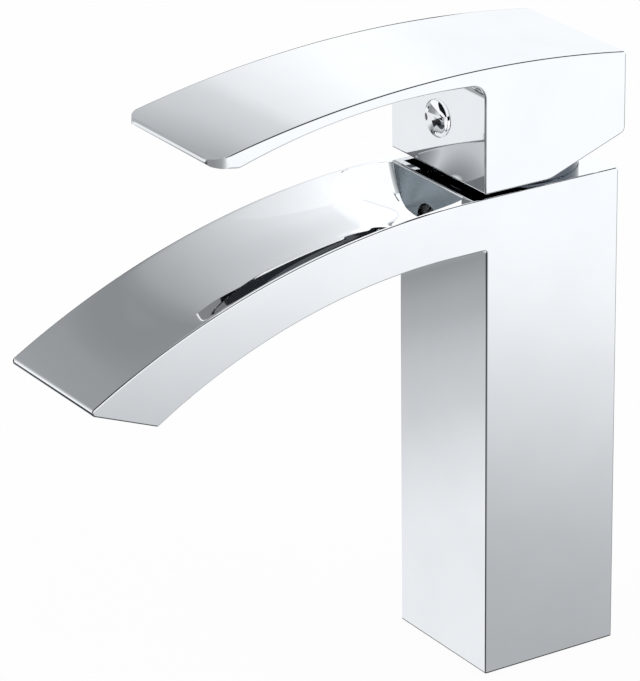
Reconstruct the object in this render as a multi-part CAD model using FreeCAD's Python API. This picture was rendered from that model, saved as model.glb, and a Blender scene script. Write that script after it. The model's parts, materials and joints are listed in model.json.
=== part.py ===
"""Single-lever basin faucet: square column, arched trough spout, lever handle and ceramic cartridge.

Millimetres. The origin is the centre of the column's base on the deck, +Z is up, the spout runs
towards -Y and the model is symmetric about X = 0.
"""
import FreeCAD, Part
import math
import os

# Column
column_width = 42.0
column_depth = 43.0
column_height = 140.5
edge_radius = 0.6

# Spout
head_front = 26.4
spout_top_radius = 230.0
lip_reach = 144.6
lip_radius = 1.2
nose_angle = 21.4
spout_depth = 14.7
spout_under_start = 32.4
spout_under_radius = 173.0
spout_corner_radius = 1.0
heel_radius = 0.9
crown_radius = 0.9

# Trough in the spout
trough_depth = 12.0
trough_fall_angle = 2.5
trough_crest_radius = 45.0
trough_run_out = 0.15
trough_rim = 1.0
trough_cove_radius = 6.0
outlet_radius = 5.0

# Base
inlet_spread = 14.0
inlet_forward = 3.2
inlet_thread_radius = 4.5
inlet_thread_length = 14.0
waterway_radius = 2.6
stud_spread = 25.0
stud_hole_radius = 3.35
stud_hole_length = 16.0
gasket_inner_radius = 17.8
gasket_width = 2.0
gasket_height = 2.0

# Cartridge
chamber_radius = 18.0
chamber_depth = 30.0
base_flange_height = 4.5
base_height = 7.0
inlet_seal_radius = 4.6
inlet_seal_height = 1.8
disc_seal_radius = 3.8
disc_seal_height = 1.2
seal_wall = 1.0
outlet_port_back = 2.2
outlet_port_radius = 2.4
outlet_slot_width = 4.4
outlet_slot_rise = 2.1
outlet_slot_height = 2.0
fixed_disc_thickness = 3.5
moving_disc_radius = 11.3
moving_disc_thickness = 3.4
mixing_pocket_width = 17.0
mixing_pocket_front = -0.6
mixing_pocket_length = 8.6
mixing_pocket_depth = 1.6
carrier_height = 5.5
housing_radius = 16.5
housing_bore_radius = 14.5
housing_flange_radius = 17.6
housing_flange_height = 4.6
housing_roof_thickness = 2.4
housing_neck_radius = 12.5
housing_neck_rise = 7.7
neck_bore_radius = 10.05
guide_flange_height = 3.5
guide_top_rise = 8.5
o_ring_section_radius = 1.0
guide_ring_section_radius = 0.8

# Stem
pivot_rise = 5.0
lift_angle = 20.0
pin_radius = 1.5
pin_length = 18.6
stem_width = 7.0
stem_thickness = 8.0
stem_foot_radius = 2.75
stem_arm_thickness = 5.0
stem_length_above_pivot = 20.5
foot_below_carrier_top = 0.8

# Retaining nut and bonnet
nut_hex_across_flats = 29.0
nut_hex_height = 5.0
bonnet_radius = 19.0
bonnet_wall = 1.4
bonnet_height = 9.3
bonnet_dome_height = 2.8
bonnet_opening_radius = 13.1

# Handle
handle_overhang = 1.5
handle_front = 23.1
handle_rear = 22.5
handle_gap = 1.8
handle_tail_start = -2.0
handle_tail_angle = 19.5
handle_crest_rise = 37.1
handle_crest_forward = 29.0
handle_top_radius = 337.0
lever_reach = 106.3
lever_tip_height = 1.8
lever_bevel_length = 7.5
lever_crest_thickness = 3.55
lever_under_crest_forward = 42.0
lever_under_radius = 200.0
lever_root_radius = 4.5
handle_tail_blend_radius = 8.0
handle_rear_radius = 2.0
handle_plan_radius = 2.0
handle_wall = 2.4
handle_roof = 3.6
boss_width = 16.0
boss_rise = 12.5
boss_back = 6.5

# Set screw and indicator plug
screw_rise = 16.8
screw_radius = 2.5
screw_length = 8.0
screw_socket_width = 2.5
screw_socket_depth = 3.0
plug_radius = 5.25
plug_rim = 0.8
plug_dome = 1.4
plug_shank_radius = 4.0
plug_shank_length = 4.0
mark_radius = 1.05
mark_spread = 5.7
mark_depth = 0.8

# Clearances
running_clearance = 0.05
seat_clearance = 0.1
moving_clearance = 0.35

# Levels and places that follow from the sizes above
column_front = -column_depth / 2
column_rear = column_depth / 2
chamber_floor = column_height - chamber_depth
base_top = chamber_floor + base_height
fixed_disc_top = base_top + fixed_disc_thickness
moving_disc_bottom = fixed_disc_top + seat_clearance
moving_disc_top = moving_disc_bottom + moving_disc_thickness
carrier_top = moving_disc_top + carrier_height
foot_level = carrier_top - foot_below_carrier_top
pivot_level = column_height + pivot_rise
stem_arm = pivot_level - foot_level
disc_travel = stem_arm * math.sin(math.radians(lift_angle))
disc_rest_back = disc_travel / 2
guide_bottom = carrier_top + moving_clearance
guide_flange_top = guide_bottom + guide_flange_height
guide_top = column_height + guide_top_rise
housing_bottom = chamber_floor + base_flange_height
housing_roof = guide_flange_top + moving_clearance
housing_flange_top = housing_roof + housing_roof_thickness
housing_neck_top = column_height + housing_neck_rise
trough_floor_at_column = column_height - trough_depth
handle_bottom = column_height + handle_gap
handle_half_width = column_width / 2 + handle_overhang
screw_level = column_height + screw_rise
port_places = [
    (-inlet_spread / 2, -inlet_forward),
    (inlet_spread / 2, -inlet_forward),
]


def vec(x, y, z):
    return FreeCAD.Vector(x, y, z)


def side_point(y, z):
    """A point of a profile drawn in the YZ plane."""
    return vec(0, y, z)


def line(start, end):
    return Part.makeLine(start, end)


def arc(centre, start, end):
    """The shorter arc about a centre, from start to end, in the YZ plane."""
    from_centre = (start - centre).normalize() + (end - centre).normalize()
    middle = centre + from_centre.normalize() * (start - centre).Length
    return Part.Arc(start, middle, end).toShape()


def prism_across(edges, width):
    """Extrude a closed YZ profile across X, centred on X = 0."""
    face = Part.Face(Part.Wire(edges))
    face.translate(vec(-width / 2, 0, 0))
    return face.extrude(vec(width, 0, 0))


def polygon_across(points, width):
    corners = [side_point(y, z) for y, z in points]
    edges = [line(a, b) for a, b in zip(corners, corners[1:] + corners[:1])]
    return prism_across(edges, width)


def block(low, high):
    size = high - low
    return Part.makeBox(size.x, size.y, size.z, low)


def rod(radius, bottom, top, x=0.0, y=0.0):
    return Part.makeCylinder(radius, top - bottom, vec(x, y, bottom))


def rod_along_y(radius, start, end, level, x=0.0):
    return Part.makeCylinder(radius, end - start, vec(x, start, level), vec(0, 1, 0))


def ring(outer, inner, bottom, top, x=0.0, y=0.0):
    return rod(outer, bottom, top, x, y).cut(rod(inner, bottom, top, x, y))


def o_ring(radius, section_radius, level):
    return Part.makeTorus(radius, section_radius, vec(0, 0, level))


def edges_across_at(shape, point):
    """The edges that run along X through a point of the side profile."""
    tolerance = 1e-4
    found = []
    for edge in shape.Edges:
        ends = [vertex.Point for vertex in edge.Vertexes]
        if all((side_point(end.y, end.z) - point).Length < tolerance for end in ends):
            found.append(edge)
    return found


def round_across(shape, corners):
    """Round the edges along X at each (profile point, radius)."""
    for point, radius in corners:
        shape = shape.makeFillet(radius, edges_across_at(shape, point))
    return shape


def side_edges(shape, width):
    """The edges round both flat sides of a prism, apart from those on the deck."""
    tolerance = 1e-4
    found = []
    for edge in shape.Edges:
        box = edge.BoundBox
        on_side = abs(abs(box.XMin) - width / 2) < tolerance and box.XLength < tolerance
        if on_side and box.ZMax > tolerance:
            found.append(edge)
    return found


def arch_level(centre, radius, y):
    return centre.z + math.sqrt(radius ** 2 - (y - centre.y) ** 2)


def spout_top_centre():
    return side_point(-head_front, column_height - spout_top_radius)


def body_blank():
    """The column and spout as one side profile, with its edges rounded."""
    under_level = column_height - spout_depth
    top_centre = spout_top_centre()
    under_centre = side_point(-spout_under_start, under_level - spout_under_radius)
    lip = side_point(-lip_reach, arch_level(top_centre, spout_top_radius, -lip_reach))
    nose = math.radians(nose_angle)
    along = side_point(math.cos(nose), -math.sin(nose))
    to_centre = under_centre - lip
    reach = to_centre.dot(along)
    offset = to_centre.Length ** 2 - reach ** 2
    heel = lip + along * (reach - math.sqrt(spout_under_radius ** 2 - offset))
    head = side_point(-head_front, column_height)
    crown = side_point(column_rear, column_height)
    armpit = side_point(column_front, under_level)
    under_end = side_point(-spout_under_start, under_level)
    front_foot = side_point(column_front, 0)
    rear_foot = side_point(column_rear, 0)
    profile = [
        line(rear_foot, crown),
        line(crown, head),
        arc(top_centre, head, lip),
        line(lip, heel),
        arc(under_centre, heel, under_end),
        line(under_end, armpit),
        line(armpit, front_foot),
        line(front_foot, rear_foot),
    ]
    blank = prism_across(profile, column_width)
    blank = round_across(blank, [
        (lip, lip_radius),
        (heel, heel_radius),
        (crown, crown_radius),
        (armpit, spout_corner_radius),
    ])
    return blank.makeFillet(edge_radius, side_edges(blank, column_width))


def trough_cut():
    """The trough: a gently falling floor, coved sides and a crest that runs out on the spout's top."""
    fall = math.radians(trough_fall_angle)
    foot = side_point(-head_front, trough_floor_at_column)
    along = side_point(-math.cos(fall), -math.sin(fall))
    up = side_point(-math.sin(fall), math.cos(fall))
    top_centre = spout_top_centre()
    centre_distance = spout_top_radius - trough_crest_radius + trough_run_out
    start = foot - up * trough_crest_radius - top_centre
    along_start = start.dot(along)
    run = -along_start + math.sqrt(along_start ** 2 - start.Length ** 2 + centre_distance ** 2)
    crest_start = foot + along * run
    crest_centre = crest_start - up * trough_crest_radius
    crest_end = crest_centre + (crest_centre - top_centre).normalize() * trough_crest_radius
    above = column_height + trough_depth
    width = column_width - 2 * trough_rim
    cut = prism_across([
        line(foot, crest_start),
        arc(crest_centre, crest_start, crest_end),
        line(crest_end, side_point(crest_end.y, above)),
        line(side_point(crest_end.y, above), side_point(foot.y, above)),
        line(side_point(foot.y, above), foot),
    ], width)
    tolerance = 1e-4
    floor_sides = []
    for edge in side_edges(cut, width):
        if edge.BoundBox.ZMax < trough_floor_at_column + tolerance:
            floor_sides.append(edge)
    return cut.makeFillet(trough_cove_radius, floor_sides)


def outlet_cut():
    """The half-round outlet at the foot of the trough's back wall, through to the chamber."""
    tunnel = rod_along_y(outlet_radius, -head_front, 0, trough_floor_at_column)
    low = vec(-outlet_radius, -head_front, trough_floor_at_column)
    high = vec(outlet_radius, 0, trough_floor_at_column + outlet_radius)
    return tunnel.common(block(low, high))


def faucet_body():
    body = body_blank().cut(trough_cut())
    body = body.cut(outlet_cut())
    body = body.cut(rod(chamber_radius, chamber_floor, column_height))
    for x, y in port_places:
        body = body.cut(rod(waterway_radius, inlet_thread_length, chamber_floor, x, y))
        body = body.cut(rod(inlet_thread_radius, 0, inlet_thread_length, x, y))
    for y in (-stud_spread / 2, stud_spread / 2):
        body = body.cut(rod(stud_hole_radius, 0, stud_hole_length, 0, y))
    groove_outer = gasket_inner_radius + gasket_width + seat_clearance
    groove_inner = gasket_inner_radius - seat_clearance
    return body.cut(ring(groove_outer, groove_inner, 0, gasket_height))


def base_gasket():
    return ring(gasket_inner_radius + gasket_width, gasket_inner_radius, 0, gasket_height)


def disc_port_places():
    return port_places + [(0, outlet_port_back)]


def cartridge_base():
    """Flange on the chamber floor, spigot in the housing, ports, seal seats and the outlet slot."""
    spigot_radius = housing_bore_radius - seat_clearance
    base = rod(housing_radius, chamber_floor, housing_bottom)
    base = base.fuse(rod(spigot_radius, chamber_floor, base_top)).removeSplitter()
    slot_bottom = chamber_floor + outlet_slot_rise
    slot_top = slot_bottom + outlet_slot_height
    for x, y in port_places:
        base = base.cut(rod(waterway_radius, chamber_floor, base_top, x, y))
        seat_radius = inlet_seal_radius + seat_clearance
        base = base.cut(rod(seat_radius, chamber_floor, chamber_floor + inlet_seal_height, x, y))
    for x, y in disc_port_places():
        seat_radius = disc_seal_radius + seat_clearance
        base = base.cut(rod(seat_radius, base_top - disc_seal_height, base_top, x, y))
    base = base.cut(rod(outlet_port_radius, slot_bottom, base_top, 0, outlet_port_back))
    low = vec(-outlet_slot_width / 2, -housing_radius, slot_bottom)
    high = vec(outlet_slot_width / 2, outlet_port_back, slot_top)
    return base.cut(block(low, high))


def inlet_seals():
    inner = inlet_seal_radius - seal_wall
    top = chamber_floor + inlet_seal_height
    rings = [ring(inlet_seal_radius, inner, chamber_floor, top, x, y) for x, y in port_places]
    return Part.makeCompound(rings)


def disc_seals():
    inner = disc_seal_radius - seal_wall
    bottom = base_top - disc_seal_height
    rings = [ring(disc_seal_radius, inner, bottom, base_top, x, y) for x, y in disc_port_places()]
    return Part.makeCompound(rings)


def fixed_ceramic_disc():
    disc = rod(housing_bore_radius - seat_clearance, base_top, fixed_disc_top)
    for x, y in port_places:
        disc = disc.cut(rod(waterway_radius, base_top, fixed_disc_top, x, y))
    return disc.cut(rod(outlet_port_radius, base_top, fixed_disc_top, 0, outlet_port_back))


def moving_ceramic_disc():
    """The sliding disc, with the pocket below that joins the inlets to the outlet when it opens."""
    disc = rod(moving_disc_radius, moving_disc_bottom, moving_disc_top, 0, disc_rest_back)
    low = vec(-mixing_pocket_width / 2, mixing_pocket_front, moving_disc_bottom)
    high = vec(
        mixing_pocket_width / 2,
        mixing_pocket_front + mixing_pocket_length,
        moving_disc_bottom + mixing_pocket_depth,
    )
    return disc.cut(block(low, high))


def disc_carrier():
    """The slider on the moving disc, with the socket for the stem's foot."""
    carrier = rod(moving_disc_radius, moving_disc_top, carrier_top, 0, disc_rest_back)
    half_width = stem_width / 2 + moving_clearance
    half_length = stem_foot_radius + moving_clearance
    floor = foot_level - stem_foot_radius - moving_clearance
    low = vec(-half_width, -half_length, floor)
    high = vec(half_width, half_length, carrier_top)
    return carrier.cut(block(low, high))


def housing_ring_level():
    return housing_flange_top - housing_flange_height / 2


def cartridge_housing():
    """The shell: bore for the discs, flange under the nut, groove for its ring, neck for the guide."""
    flange_bottom = housing_flange_top - housing_flange_height
    shell = rod(housing_radius, housing_bottom, housing_flange_top)
    shell = shell.fuse(rod(housing_flange_radius, flange_bottom, housing_flange_top))
    shell = shell.fuse(rod(housing_neck_radius, housing_bottom, housing_neck_top)).removeSplitter()
    shell = shell.cut(rod(housing_bore_radius, housing_bottom, housing_roof))
    shell = shell.cut(rod(neck_bore_radius, housing_bottom, housing_neck_top))
    groove_half = o_ring_section_radius + seat_clearance
    groove_floor = chamber_radius - 2 * o_ring_section_radius - seat_clearance
    level = housing_ring_level()
    return shell.cut(ring(chamber_radius, groove_floor, level - groove_half, level + groove_half))


def housing_o_ring():
    centre_radius = chamber_radius - o_ring_section_radius - running_clearance
    return o_ring(centre_radius, o_ring_section_radius, housing_ring_level())


def retaining_nut():
    """Threaded ring on the housing's flange, with a hexagon above the column's top."""
    hex_top = column_height + nut_hex_height
    corner_radius = nut_hex_across_flats / math.sqrt(3)
    corners = []
    for index in range(6):
        angle = math.radians(60 * index)
        corners.append(vec(corner_radius * math.cos(angle), corner_radius * math.sin(angle), column_height))
    hexagon = Part.Face(Part.makePolygon(corners + corners[:1])).extrude(vec(0, 0, nut_hex_height))
    nut = rod(chamber_radius - seat_clearance, housing_flange_top, column_height).fuse(hexagon)
    bore_radius = housing_neck_radius + moving_clearance
    return nut.cut(rod(bore_radius, housing_flange_top, hex_top))


def bonnet():
    """The dome ring over the nut: a straight skirt, a rounded shoulder and an open top."""
    bottom = column_height
    top = column_height + bonnet_height
    shoulder = top - bonnet_dome_height
    inner = bonnet_radius - bonnet_wall
    rise = bonnet_dome_height
    run = bonnet_radius - bonnet_opening_radius
    bend = math.sqrt(0.5)
    mid_radius = bonnet_opening_radius + run * bend
    mid_level = shoulder + rise * bend
    foot_inside = vec(inner, 0, bottom)
    foot_outside = vec(bonnet_radius, 0, bottom)
    skirt_top = vec(bonnet_radius, 0, shoulder)
    dome_middle = vec(mid_radius, 0, mid_level)
    rim_top = vec(bonnet_opening_radius, 0, top)
    rim_bottom = vec(bonnet_opening_radius, 0, top - bonnet_wall)
    shoulder_inside = vec(inner, 0, shoulder)
    outline = [
        line(foot_inside, foot_outside),
        line(foot_outside, skirt_top),
        Part.Arc(skirt_top, dome_middle, rim_top).toShape(),
        line(rim_top, rim_bottom),
        line(rim_bottom, shoulder_inside),
        line(shoulder_inside, foot_inside),
    ]
    face = Part.Face(Part.Wire(outline))
    return face.revolve(vec(0, 0, 0), vec(0, 0, 1), 360)


def tilted(y, z):
    """Where a point of the stem, given from the pivot, lies when the lever is fully lifted."""
    angle = math.radians(lift_angle)
    return (y * math.cos(angle) + z * math.sin(angle), z * math.cos(angle) - y * math.sin(angle))


def stem_waist():
    """Levels from the pivot where the stem's arm starts to widen and is at full thickness."""
    full = -stem_thickness / 2
    return full - (stem_thickness - stem_arm_thickness), full


def stem_guide():
    """The turning piece: a flange in the housing, a neck, and the slot that the stem swings in."""
    neck_radius = neck_bore_radius - running_clearance
    guide = rod(housing_bore_radius - running_clearance * 2, guide_bottom, guide_flange_top)
    guide = guide.fuse(rod(neck_radius, guide_bottom, guide_top)).removeSplitter()
    arm_half = stem_arm_thickness / 2
    stem_half = stem_thickness / 2
    narrow, wide = stem_waist()
    bottom = guide_bottom - pivot_level
    top = guide_top - pivot_level
    foot_front = tilted(0, -stem_arm)[0] - stem_foot_radius
    heel_level = tilted(-arm_half, -stem_arm)[1]
    arm_front, arm_level = tilted(-arm_half, narrow)
    waist_front, waist_level = tilted(-stem_half, wide)
    pivot_back = stem_half / math.cos(math.radians(lift_angle))
    top_back = tilted(stem_half, top * 2)[0]
    slot = polygon_across([
        (foot_front - moving_clearance, pivot_level + bottom),
        (arm_half + moving_clearance, pivot_level + bottom),
        (arm_half + moving_clearance, pivot_level + narrow - moving_clearance),
        (stem_half + moving_clearance, pivot_level + wide - moving_clearance),
        (pivot_back + moving_clearance, pivot_level),
        (top_back + moving_clearance, pivot_level + top),
        (waist_front - moving_clearance, pivot_level + top),
        (waist_front - moving_clearance, pivot_level + waist_level),
        (arm_front - moving_clearance, pivot_level + arm_level),
        (foot_front - moving_clearance, pivot_level + heel_level),
    ], stem_width + 2 * moving_clearance)
    guide = guide.cut(slot)
    groove_half = guide_ring_section_radius + running_clearance
    groove_floor = neck_radius - 2 * guide_ring_section_radius - running_clearance
    level = guide_ring_level()
    guide = guide.cut(ring(neck_bore_radius, groove_floor, level - groove_half, level + groove_half))
    pin_hole = Part.makeCylinder(
        pin_radius + running_clearance / 2, 2 * neck_radius, vec(-neck_radius, 0, pivot_level), vec(1, 0, 0)
    )
    return guide.cut(pin_hole)


def guide_ring_level():
    return (guide_flange_top + pivot_level - pin_radius) / 2


def guide_o_ring():
    neck_radius = neck_bore_radius - running_clearance
    return o_ring(neck_radius - guide_ring_section_radius, guide_ring_section_radius, guide_ring_level())


def stem_pin():
    return Part.makeCylinder(pin_radius, pin_length, vec(-pin_length / 2, 0, pivot_level), vec(1, 0, 0))


def stem():
    """The flat spindle: round foot, slim arm, full section from the pivot up into the handle."""
    arm_half = stem_arm_thickness / 2
    stem_half = stem_thickness / 2
    narrow, wide = stem_waist()
    top = pivot_level + stem_length_above_pivot
    bar = polygon_across([
        (-arm_half, foot_level),
        (arm_half, foot_level),
        (arm_half, pivot_level + narrow),
        (stem_half, pivot_level + wide),
        (stem_half, top),
        (-stem_half, top),
        (-stem_half, pivot_level + wide),
        (-arm_half, pivot_level + narrow),
    ], stem_width)
    foot_start = vec(-stem_width / 2, 0, foot_level)
    foot = Part.makeCylinder(stem_foot_radius, stem_width, foot_start, vec(1, 0, 0))
    hole_start = vec(-stem_width / 2, 0, pivot_level)
    hole = Part.makeCylinder(pin_radius + running_clearance, stem_width, hole_start, vec(1, 0, 0))
    return bar.fuse(foot).removeSplitter().cut(hole)


def handle_top_centre():
    return side_point(-handle_crest_forward, column_height + handle_crest_rise - handle_top_radius)


def handle_blank():
    """The block and lever as one side profile, with rounded corners in plan."""
    top_centre = handle_top_centre()
    under_crest = arch_level(top_centre, handle_top_radius, -lever_under_crest_forward)
    under_crest = under_crest - lever_crest_thickness
    under_centre = side_point(-lever_under_crest_forward, under_crest - lever_under_radius)
    tail_rise = (handle_rear - handle_tail_start) * math.tan(math.radians(handle_tail_angle))
    front_foot = side_point(-handle_front, handle_bottom)
    tail = side_point(handle_tail_start, handle_bottom)
    rear_foot = side_point(handle_rear, handle_bottom + tail_rise)
    rear_top = side_point(handle_rear, arch_level(top_centre, handle_top_radius, handle_rear))
    tip_top = side_point(-lever_reach, arch_level(top_centre, handle_top_radius, -lever_reach))
    tip_foot = tip_top - side_point(0, lever_tip_height)
    bevel_end = -lever_reach + lever_bevel_length
    bevel = side_point(bevel_end, arch_level(under_centre, lever_under_radius, bevel_end))
    root = side_point(-handle_front, arch_level(under_centre, lever_under_radius, -handle_front))
    blank = prism_across([
        line(front_foot, tail),
        line(tail, rear_foot),
        line(rear_foot, rear_top),
        arc(top_centre, rear_top, tip_top),
        line(tip_top, tip_foot),
        line(tip_foot, bevel),
        arc(under_centre, bevel, root),
        line(root, front_foot),
    ], 2 * handle_half_width)
    blank = round_across(blank, [
        (root, lever_root_radius),
        (rear_foot, handle_rear_radius),
        (tail, handle_tail_blend_radius),
    ])
    low = vec(-handle_half_width, -lever_reach, handle_bottom)
    high = vec(handle_half_width, handle_rear, column_height + handle_crest_rise)
    plan = block(low, high)
    uprights = [edge for edge in plan.Edges if edge.BoundBox.ZLength > handle_crest_rise / 2]
    return blank.common(plan.makeFillet(handle_plan_radius, uprights))


def handle_lever():
    """The hollow handle: open below, with a boss from the front wall that takes the stem and screw."""
    top_centre = handle_top_centre()
    roof = arch_level(top_centre, handle_top_radius, handle_rear) - handle_roof
    inner_half = handle_half_width - handle_wall
    inner_front = -handle_front + handle_wall
    boss_bottom = column_height + boss_rise
    inner_rear = handle_rear - handle_wall
    cavity = block(vec(-inner_half, inner_front, column_height), vec(inner_half, inner_rear, roof))
    boss = block(vec(-boss_width / 2, inner_front, boss_bottom), vec(boss_width / 2, boss_back, roof))
    handle = handle_blank().cut(cavity.cut(boss))
    socket_half_x = stem_width / 2 + running_clearance
    socket_half_y = stem_thickness / 2 + running_clearance
    socket_top = pivot_level + stem_length_above_pivot + seat_clearance
    low = vec(-socket_half_x, -socket_half_y, boss_bottom)
    handle = handle.cut(block(low, vec(socket_half_x, socket_half_y, socket_top)))
    tunnel_end = -handle_front + plug_shank_length + seat_clearance
    tunnel_radius = plug_shank_radius + running_clearance
    handle = handle.cut(rod_along_y(tunnel_radius, -handle_front, tunnel_end, screw_level))
    thread_radius = screw_radius + running_clearance
    return handle.cut(rod_along_y(thread_radius, -handle_front, 0, screw_level))


def set_screw():
    """The grub screw, tip on the stem's flat, hexagon socket towards the front."""
    tip = -stem_thickness / 2
    start = tip - screw_length
    screw = rod_along_y(screw_radius, start, tip, screw_level)
    corner_radius = screw_socket_width / math.sqrt(3)
    corners = []
    for index in range(6):
        angle = math.radians(60 * index)
        x = corner_radius * math.cos(angle)
        z = screw_level + corner_radius * math.sin(angle)
        corners.append(vec(x, start, z))
    socket = Part.Face(Part.makePolygon(corners + corners[:1])).extrude(vec(0, screw_socket_depth, 0))
    return screw.cut(socket)


def plug_head():
    """Rim and dome of the indicator plug, turned about its own axis on the handle's front face."""
    face_y = -handle_front
    rim_y = face_y - plug_rim
    crown_y = rim_y - plug_dome
    dome_radius = (plug_radius ** 2 + plug_dome ** 2) / (2 * plug_dome)
    half_turn = math.asin(plug_radius / dome_radius) / 2
    centre_y = crown_y + dome_radius
    middle = vec(
        dome_radius * math.sin(half_turn), centre_y - dome_radius * math.cos(half_turn), screw_level
    )
    axis_point = vec(0, crown_y, screw_level)
    edge_point = vec(plug_radius, rim_y, screw_level)
    outline = [
        Part.Arc(axis_point, middle, edge_point).toShape(),
        line(edge_point, vec(plug_radius, face_y, screw_level)),
        line(vec(plug_radius, face_y, screw_level), vec(0, face_y, screw_level)),
        line(vec(0, face_y, screw_level), axis_point),
    ]
    face = Part.Face(Part.Wire(outline))
    return face.revolve(axis_point, vec(0, 1, 0), 360)


def mark_rod(side, radius):
    crown_y = -handle_front - plug_rim - plug_dome
    bottom_y = crown_y + plug_dome + mark_depth
    return rod_along_y(radius, crown_y, bottom_y, screw_level, side * mark_spread / 2)


def indicator_plug():
    shank = rod_along_y(plug_shank_radius, -handle_front, -handle_front + plug_shank_length, screw_level)
    plug = plug_head().fuse(shank).removeSplitter()
    for side in (-1, 1):
        plug = plug.cut(mark_rod(side, mark_radius + running_clearance / 2))
    return plug


def mark(side):
    """A dot set flush into the plug's dome."""
    return plug_head().common(mark_rod(side, mark_radius))


def hot_mark():
    return mark(-1)


def cold_mark():
    return mark(1)


PIECES = [
    faucet_body,
    base_gasket,
    cartridge_base,
    inlet_seals,
    disc_seals,
    fixed_ceramic_disc,
    cartridge_housing,
    housing_o_ring,
    retaining_nut,
    bonnet,
    stem_guide,
    guide_o_ring,
    stem_pin,
    stem,
    handle_lever,
    set_screw,
    indicator_plug,
    hot_mark,
    cold_mark,
    moving_ceramic_disc,
    disc_carrier,
]

os.makedirs("parts", exist_ok=True)
for make_piece in PIECES:
    shape = make_piece()
    shape.exportStep("parts/" + make_piece.__name__ + ".step")
    print(make_piece.__name__, len(shape.Solids), shape.isValid(), round(shape.Volume, 1))
print("pivot level", pivot_level, "stem arm", stem_arm, "disc travel", round(disc_travel, 3))
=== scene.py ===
# %% [markdown]
# # A chrome basin faucet
# The faucet is a square column with an arched, troughed spout and a block handle whose lever arches over
# it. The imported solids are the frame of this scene: they give every place and every moving body, and the
# surfaces made below dress them. All lengths are in metres.

# %% Load the frame
import json
import math

import bmesh
import bpy
import numpy as np
from mathutils import Matrix, Vector


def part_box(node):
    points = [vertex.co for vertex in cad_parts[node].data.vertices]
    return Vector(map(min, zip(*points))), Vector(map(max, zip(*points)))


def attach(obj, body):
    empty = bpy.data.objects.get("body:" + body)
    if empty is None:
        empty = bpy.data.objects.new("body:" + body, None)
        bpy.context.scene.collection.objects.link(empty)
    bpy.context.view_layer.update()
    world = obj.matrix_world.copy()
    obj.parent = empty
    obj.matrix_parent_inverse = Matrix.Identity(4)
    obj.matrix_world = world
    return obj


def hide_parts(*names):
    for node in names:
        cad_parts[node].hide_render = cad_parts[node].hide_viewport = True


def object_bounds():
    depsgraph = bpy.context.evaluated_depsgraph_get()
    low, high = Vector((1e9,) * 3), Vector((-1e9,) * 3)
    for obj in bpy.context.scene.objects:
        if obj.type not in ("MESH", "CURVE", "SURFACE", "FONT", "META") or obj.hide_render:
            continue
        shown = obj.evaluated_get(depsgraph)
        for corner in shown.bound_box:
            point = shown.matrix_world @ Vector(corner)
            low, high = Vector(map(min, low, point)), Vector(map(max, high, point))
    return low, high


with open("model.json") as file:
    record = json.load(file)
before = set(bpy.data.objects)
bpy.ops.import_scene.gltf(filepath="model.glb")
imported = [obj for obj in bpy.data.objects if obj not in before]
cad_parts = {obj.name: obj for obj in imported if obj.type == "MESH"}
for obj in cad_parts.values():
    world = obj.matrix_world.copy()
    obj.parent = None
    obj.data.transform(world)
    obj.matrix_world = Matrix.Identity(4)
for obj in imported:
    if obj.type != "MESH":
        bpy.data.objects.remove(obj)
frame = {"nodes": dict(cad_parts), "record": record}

cad_low, cad_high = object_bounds()
scene = bpy.context.scene
MM = 1000.0
print("nodes in the frame:", len(frame["nodes"]))
print("box of the solids in mm:", [round(MM * side, 1) for side in cad_high - cad_low])

# %% [markdown]
# ## Outlines made of lines and arcs
# The column with its spout, and the handle with its lever, are both a side view carried across the
# faucet's width. A side view could be typed in as many points, but then nothing could be changed. Here it is
# a loop of lines and arcs in the (y, z) plane, walked anticlockwise, so that the metal is on the left.

# %% Lines and arcs
def loop_run(start, end, centre):
    """A straight run from one (y, z) point to the next or, with a centre, the shorter arc round it. The turn
    of an arc is 1 if it is walked anticlockwise and -1 if clockwise."""
    start, end = np.array(start, float), np.array(end, float)
    run = {"centre": centre, "start": start, "end": end}
    if centre is not None:
        first, last = start - centre, end - centre
        run["turn"] = np.sign(first[0] * last[1] - first[1] * last[0])
        run["radius"] = np.linalg.norm(first)
    return run


def left_distance(run, point):
    """How far a point lies left of a run, and the direction in which that distance grows fastest."""
    if run["centre"] is None:
        along = run["end"] - run["start"]
        left = np.array([-along[1], along[0]]) / np.linalg.norm(along)
        return (point - run["start"]) @ left, left
    spoke = point - run["centre"]
    reach = np.linalg.norm(spoke)
    return run["turn"] * (run["radius"] - reach), -run["turn"] * spoke / reach


def sample_arc(centre, start, end, count, outward_sign):
    """Points on the shorter arc from start to end, with normals that point from or to its centre."""
    first, last = start - centre, end - centre
    angle_first = math.atan2(first[1], first[0])
    swing = math.atan2(first[0] * last[1] - first[1] * last[0], first @ last)
    angles = angle_first + swing * np.linspace(0.0, 1.0, count)
    spokes = np.stack([np.cos(angles), np.sin(angles)], axis=1)
    return centre + np.linalg.norm(first) * spokes, outward_sign * spokes


def sample_run(run, start, end, count):
    """Points and outward normals on a run, between two of its points."""
    if run["centre"] is not None:
        return sample_arc(run["centre"], start, end, count, run["turn"])
    share = np.linspace(0.0, 1.0, count)[:, None]
    _, left = left_distance(run, start)
    return start + share * (end - start), np.tile(-left, (count, 1))


quarter_arc = sample_arc(np.zeros(2), np.array([1.0, 0.0]), np.array([0.0, 1.0]), 3, 1.0)[0]
print("three points of a quarter arc:", quarter_arc.round(3).tolist())

# %% [markdown]
# ## Rounded corners
# A casting's corners are never quite sharp, and each has its own radius. A Bevel modifier could round them
# later, but the rows of the grid are wanted on the round corners already. The middle of each rounding is the
# point that lies one radius from both of the runs that meet there, and Newton's steps find it, whether the
# runs are straight or round.

# %% Corners and loops
NEWTON_STEPS = 12
CORNER_POINTS = 9
SAME_POINT = 1e-7


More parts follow.
